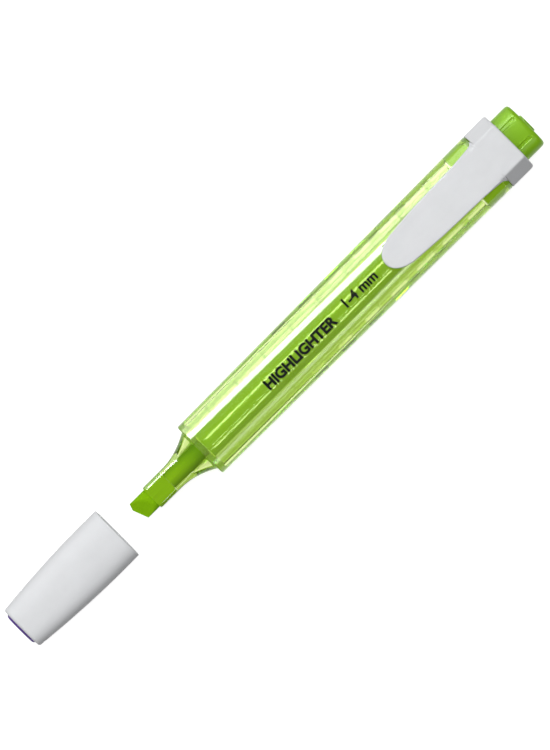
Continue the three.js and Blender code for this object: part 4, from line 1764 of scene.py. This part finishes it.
@dataclass(frozen=True)
class Print:
    """Plain generic words printed on the barrel's front.

    Attributes:
        name: the piece's name.
        words: what it says.
        start: where it starts along the axis.
        end: where it ends.
        across: its middle line's y.
        bold: how much the strokes are thickened.
    """

    name: str
    words: str
    start: float
    end: float
    across: float
    bold: float = 0.0

    def build(self, barrel: Barrel) -> bpy.types.Object:
        """Makes the letters as a film of ink laid on the barrel's crowned front.

        Args:
            barrel: whose front it lies on.

        Returns:
            The new object.
        """
        curve = bpy.data.curves.new(self.name, "FONT")
        curve.body = self.words
        curve.offset = self.bold
        curve.extrude = 0.01
        curve.resolution_u = 6
        source = new_object(self.name + "_source", curve)
        graph = bpy.context.evaluated_depsgraph_get()
        mesh = bpy.data.meshes.new_from_object(source.evaluated_get(graph))
        bpy.data.objects.remove(source)
        flat = np.zeros(len(mesh.vertices) * 3)
        mesh.vertices.foreach_get("co", flat)
        flat = flat.reshape(-1, 3)
        low, high = flat.min(axis=0), flat.max(axis=0)
        scale = (self.end - self.start) / (high[0] - low[0])
        x = self.start + (flat[:, 0] - low[0]) * scale
        y = self.across + (flat[:, 1] - (low[1] + high[1]) / 2) * scale
        half_width = np.interp(x, [0, barrel.body_end], [barrel.body_width(0) / 2, barrel.width / 2])
        power = barrel.power(x)
        crown = (1 - np.abs(y / half_width) ** power) ** (1 / power)
        z = barrel.thickness / 2 * crown + np.where(flat[:, 2] > 0, 0.03, 0.008)
        placed = PEN.place(np.stack([x, y, z], axis=1)).astype(np.float32)
        mesh.vertices.foreach_set("co", placed.ravel())
        mesh.materials.clear()
        mesh.materials.append(PRINT_BLACK.material())
        piece = new_object(self.name, mesh)
        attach(piece, "pen")
        return piece


# ---- The studio ----


class Reach(Enum):
    """What a soft box works on."""

    MATTE = "a lamp that lights matte surfaces and isn't mirrored"
    MIRRORED = "a glowing panel that is only mirrored"


@dataclass(frozen=True)
class SoftBox:
    """A long soft light parallel to the pen.

    Attributes:
        name: the light's name.
        angle: degrees from straight up, towards +Y.
        spread: its angular width in degrees, seen from the pen.
        distance: from the pen, in metres.
        length: along the pen, in metres.
        radiance: how bright its face is.
        reach: what it works on.
        core: the share of its width that has the full brightness.
    """

    name: str
    angle: float
    spread: float
    distance: float
    length: float
    radiance: float
    reach: Reach = Reach.MIRRORED
    core: float = 0.5

    def build(self) -> bpy.types.Object:
        """Hangs the light.

        Returns:
            The lamp or the panel.
        """
        width = 2 * self.distance * math.tan(math.radians(self.spread / 2))
        if self.reach is Reach.MATTE:
            return self.lamp(width)
        return self.panel(width)

    def lamp(self, width: float) -> bpy.types.Object:
        """Makes an area lamp, whose power is pi times radiance times area.

        Args:
            width: its width in metres.

        Returns:
            The lamp.
        """
        light = bpy.data.lights.new(self.name, "AREA")
        light.shape = "RECTANGLE"
        light.size = self.length
        light.size_y = width
        light.energy = math.pi * self.radiance * self.length * width
        lamp = new_object(self.name, light)
        a = math.radians(self.angle)
        lamp.location = (0.0, self.distance * math.sin(a), self.distance * math.cos(a))
        lamp.rotation_euler = (-a, 0.0, 0.0)
        lamp.visible_camera = False
        lamp.visible_glossy = False
        lamp.visible_transmission = False
        return lamp

    def panel(self, width: float) -> bpy.types.Object:
        """Makes a glowing panel that fades towards its long edges.

        Its corners are d (0, sin a, cos a) plus or minus half the length along x and half the width
        along (0, cos a, -sin a). A map coordinate v runs across it from 0 to 1.

        Args:
            width: its width in metres.

        Returns:
            The panel.
        """
        a = math.radians(self.angle)
        middle = self.distance * np.array([0.0, math.sin(a), math.cos(a)])
        along = np.array([self.length / 2, 0.0, 0.0])
        across = width / 2 * np.array([0.0, math.cos(a), -math.sin(a)])
        signs = np.array([(-1, -1), (1, -1), (1, 1), (-1, 1)])
        corners = middle + signs[:, :1] * along + signs[:, 1:] * across
        mesh = bpy.data.meshes.new(self.name)
        mesh.from_pydata(corners.tolist(), [], [(0, 1, 2, 3)])
        layer = mesh.uv_layers.new(name="across")
        layer.data.foreach_set("uv", ((signs + 1) / 2).astype(np.float32).ravel())
        mesh.materials.append(self.glow())
        panel = new_object(self.name, mesh)
        panel.visible_camera = False
        panel.visible_diffuse = False
        panel.visible_shadow = False
        panel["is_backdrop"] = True
        return panel

    def glow(self) -> bpy.types.Material:
        """Builds the panel's glow: full in its core and fading smoothly to nothing at its edges.

        Returns:
            The material.
        """
        tree = Tree(self.name + "_glow")
        coordinates = tree.add("UVMap", uv_map="across")
        parts = tree.add("SeparateXYZ", Vector=coordinates.outputs["UV"])
        offset = tree.add("Math", operation="SUBTRACT")
        tree.link(parts.outputs["Y"], offset.inputs[0])
        offset.inputs[1].default_value = 0.5
        distance = tree.add("Math", operation="ABSOLUTE")
        tree.link(offset.outputs[0], distance.inputs[0])
        fade = tree.add(
            "MapRange",
            interpolation_type="SMOOTHSTEP",
            Value=distance.outputs[0],
            From_Min=self.core / 2,
            From_Max=0.5,
            To_Min=self.radiance,
            To_Max=0.0,
        )
        light = tree.add("Emission", Strength=fade.outputs["Result"])
        both = tree.add("AddShader")
        tree.link(light.outputs["Emission"], both.inputs[0])
        tree.link(tree.add("BsdfTransparent").outputs["BSDF"], both.inputs[1])
        return tree.finished(both.outputs["Shader"])


@dataclass
class Studio:
    """A plain pale floor, soft lights along the pen, and the camera straight above it.

    Attributes:
        floor_size: the floor's side in metres.
        frame_long_side: how many metres the view's longer side covers.
        aim_x: how far towards the tail the camera aims, in millimetres.
        lens, sensor, roll: the camera's lens and sensor in millimetres, and its turn about its axis.
        world_matte, world_mirrored: the surroundings' brightness for matte and for mirrored light.
        table_glow: how bright the floor glows.
    """

    floor_size: float = 6.0
    frame_long_side: float = 0.1630
    aim_x: float = 0.38
    lens: float = 400.0
    sensor: float = 36.0
    roll: float = math.radians(-45)
    world_matte: float = 0.16
    world_mirrored: float = 0.15
    table_glow: float = 0.9

    def boxes(self) -> list[SoftBox]:
        """Lists the lights.

        Returns:
            The soft boxes.
        """
        return [
            SoftBox("key", 23.0, 50.0, 0.9, 1.6, 2.66, Reach.MATTE),
            SoftBox("upper_strip", 21.0, 20.0, 0.6, 0.4, 24.0, core=0.5),
            SoftBox("upper_halo", 24.0, 42.0, 0.7, 0.5, 1.3, core=0.3),
            SoftBox("upper_side", 57.0, 70.0, 0.8, 0.8, 3.8, core=0.7),
            SoftBox("lower_strip", -29.5, 19.0, 0.6, 0.5, 5.0, core=0.15),
        ]

    def world(self) -> None:
        """Gives the surroundings: white to look at, and dimmer for matte and mirrored light."""
        world = bpy.data.worlds.new("studio")
        world.use_nodes = True
        bpy.context.scene.world = world
        tree = world.node_tree
        tree.nodes.clear()
        output = tree.nodes.new("ShaderNodeOutputWorld")
        path = tree.nodes.new("ShaderNodeLightPath")
        plain = tree.nodes.new("ShaderNodeBackground")
        plain.inputs["Color"].default_value = (1.0, 1.0, 1.0, 1.0)
        level: bpy.types.NodeSocket | None = None
        steps = (
            ("Is Camera Ray", 1.0),
            ("Is Glossy Ray", self.world_mirrored),
            ("Is Transmission Ray", 1.0),
        )
        for ray, value in steps:
            mix = tree.nodes.new("ShaderNodeMix")
            mix.inputs[2].default_value = self.world_matte
            mix.inputs[3].default_value = value
            tree.links.new(path.outputs[ray], mix.inputs[0])
            if level is not None:
                tree.links.new(level, mix.inputs[2])
            level = mix.outputs[0]
        tree.links.new(level, plain.inputs["Strength"])
        tree.links.new(plain.outputs["Background"], output.inputs["Surface"])

    def floor(self) -> None:
        """Lays the floor that the pen lies on: a light table, whose own glow doesn't light matte pieces."""
        half = self.floor_size / 2
        mesh = bpy.data.meshes.new("floor")
        corners = [(-half, -half, 0), (half, -half, 0), (half, half, 0), (-half, half, 0)]
        mesh.from_pydata(corners, [], [(0, 1, 2, 3)])
        tree = Tree("pale_floor")
        path = tree.add("LightPath")
        matte = path.outputs["Is Diffuse Ray"]
        glow = tree.add("MapRange", Value=matte, To_Min=self.table_glow, To_Max=0.0)
        shader = tree.add(
            "BsdfPrincipled",
            Base_Color=(0.4, 0.4, 0.4, 1.0),
            Roughness=0.9,
            Specular_IOR_Level=0.0,
            Emission_Color=(1.0, 1.0, 1.0, 1.0),
            Emission_Strength=glow.outputs["Result"],
        )
        mesh.materials.append(tree.finished(shader.outputs["BSDF"]))
        floor = new_object("floor", mesh)
        floor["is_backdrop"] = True

    def camera(self) -> None:
        """Puts the camera straight above the middle of the object, rolled so that the pen lies diagonally."""
        data = bpy.data.cameras.new("camera")
        data.lens = self.lens
        data.sensor_width = self.sensor
        data.clip_end = 100.0
        camera = new_object("camera", data)
        low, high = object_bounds()
        middle = (low + high) / 2
        distance = self.lens * self.frame_long_side / self.sensor
        camera.location = Vector((middle.x + self.aim_x * MM, middle.y, PEN.height + distance))
        camera.rotation_euler = (0.0, 0.0, self.roll)
        bpy.context.scene.camera = camera

    def build(self) -> None:
        """Sets up the whole studio."""
        self.world()
        self.floor()
        self.camera()
        for box in self.boxes():
            box.build()
        scene = bpy.context.scene
        scene.view_settings.view_transform = "Standard"
        scene.cycles.caustics_refractive = False
        scene.cycles.caustics_reflective = False
        scene.cycles.max_bounces = 24
        scene.cycles.transmission_bounces = 24
        scene.cycles.glossy_bounces = 12


# ---- Making it ----


def report(piece: bpy.types.Object) -> None:
    """Logs one finished piece and its size.

    Args:
        piece: the finished piece.
    """
    size = piece.dimensions / MM
    faces = len(piece.data.polygons)
    LOG.info("%s: %d faces, %.1f x %.1f x %.1f mm", piece.name, faces, *size)


def main() -> None:
    """Builds the studio, then every sub-assembly in order."""
    logging.basicConfig(level=logging.INFO, format="%(name)s %(message)s")
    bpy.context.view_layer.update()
    studio = Studio()
    studio.build()
    barrel = Barrel()
    report(barrel.build())
    report(NibHolder().build())
    report(Nib().build())
    reservoir = Reservoir()
    report(reservoir.build_fibre())
    report(reservoir.build_film())
    report(EndPlug().build())
    report(Clip().build())
    cap = Cap()
    report(cap.build_shell())
    report(cap.build_seal())
    report(cap.build_insert())
    for words in (
        Print("print_name", "HIGHLIGHTER", 20.0, 41.0, -0.45, 0.045),
        Print("print_width", "1-4 mm", 44.5, 54.0, 0.3, 0.03),
    ):
        report(words.build(barrel))
    bpy.context.view_layer.update()


if __name__ == "__main__":
    main()
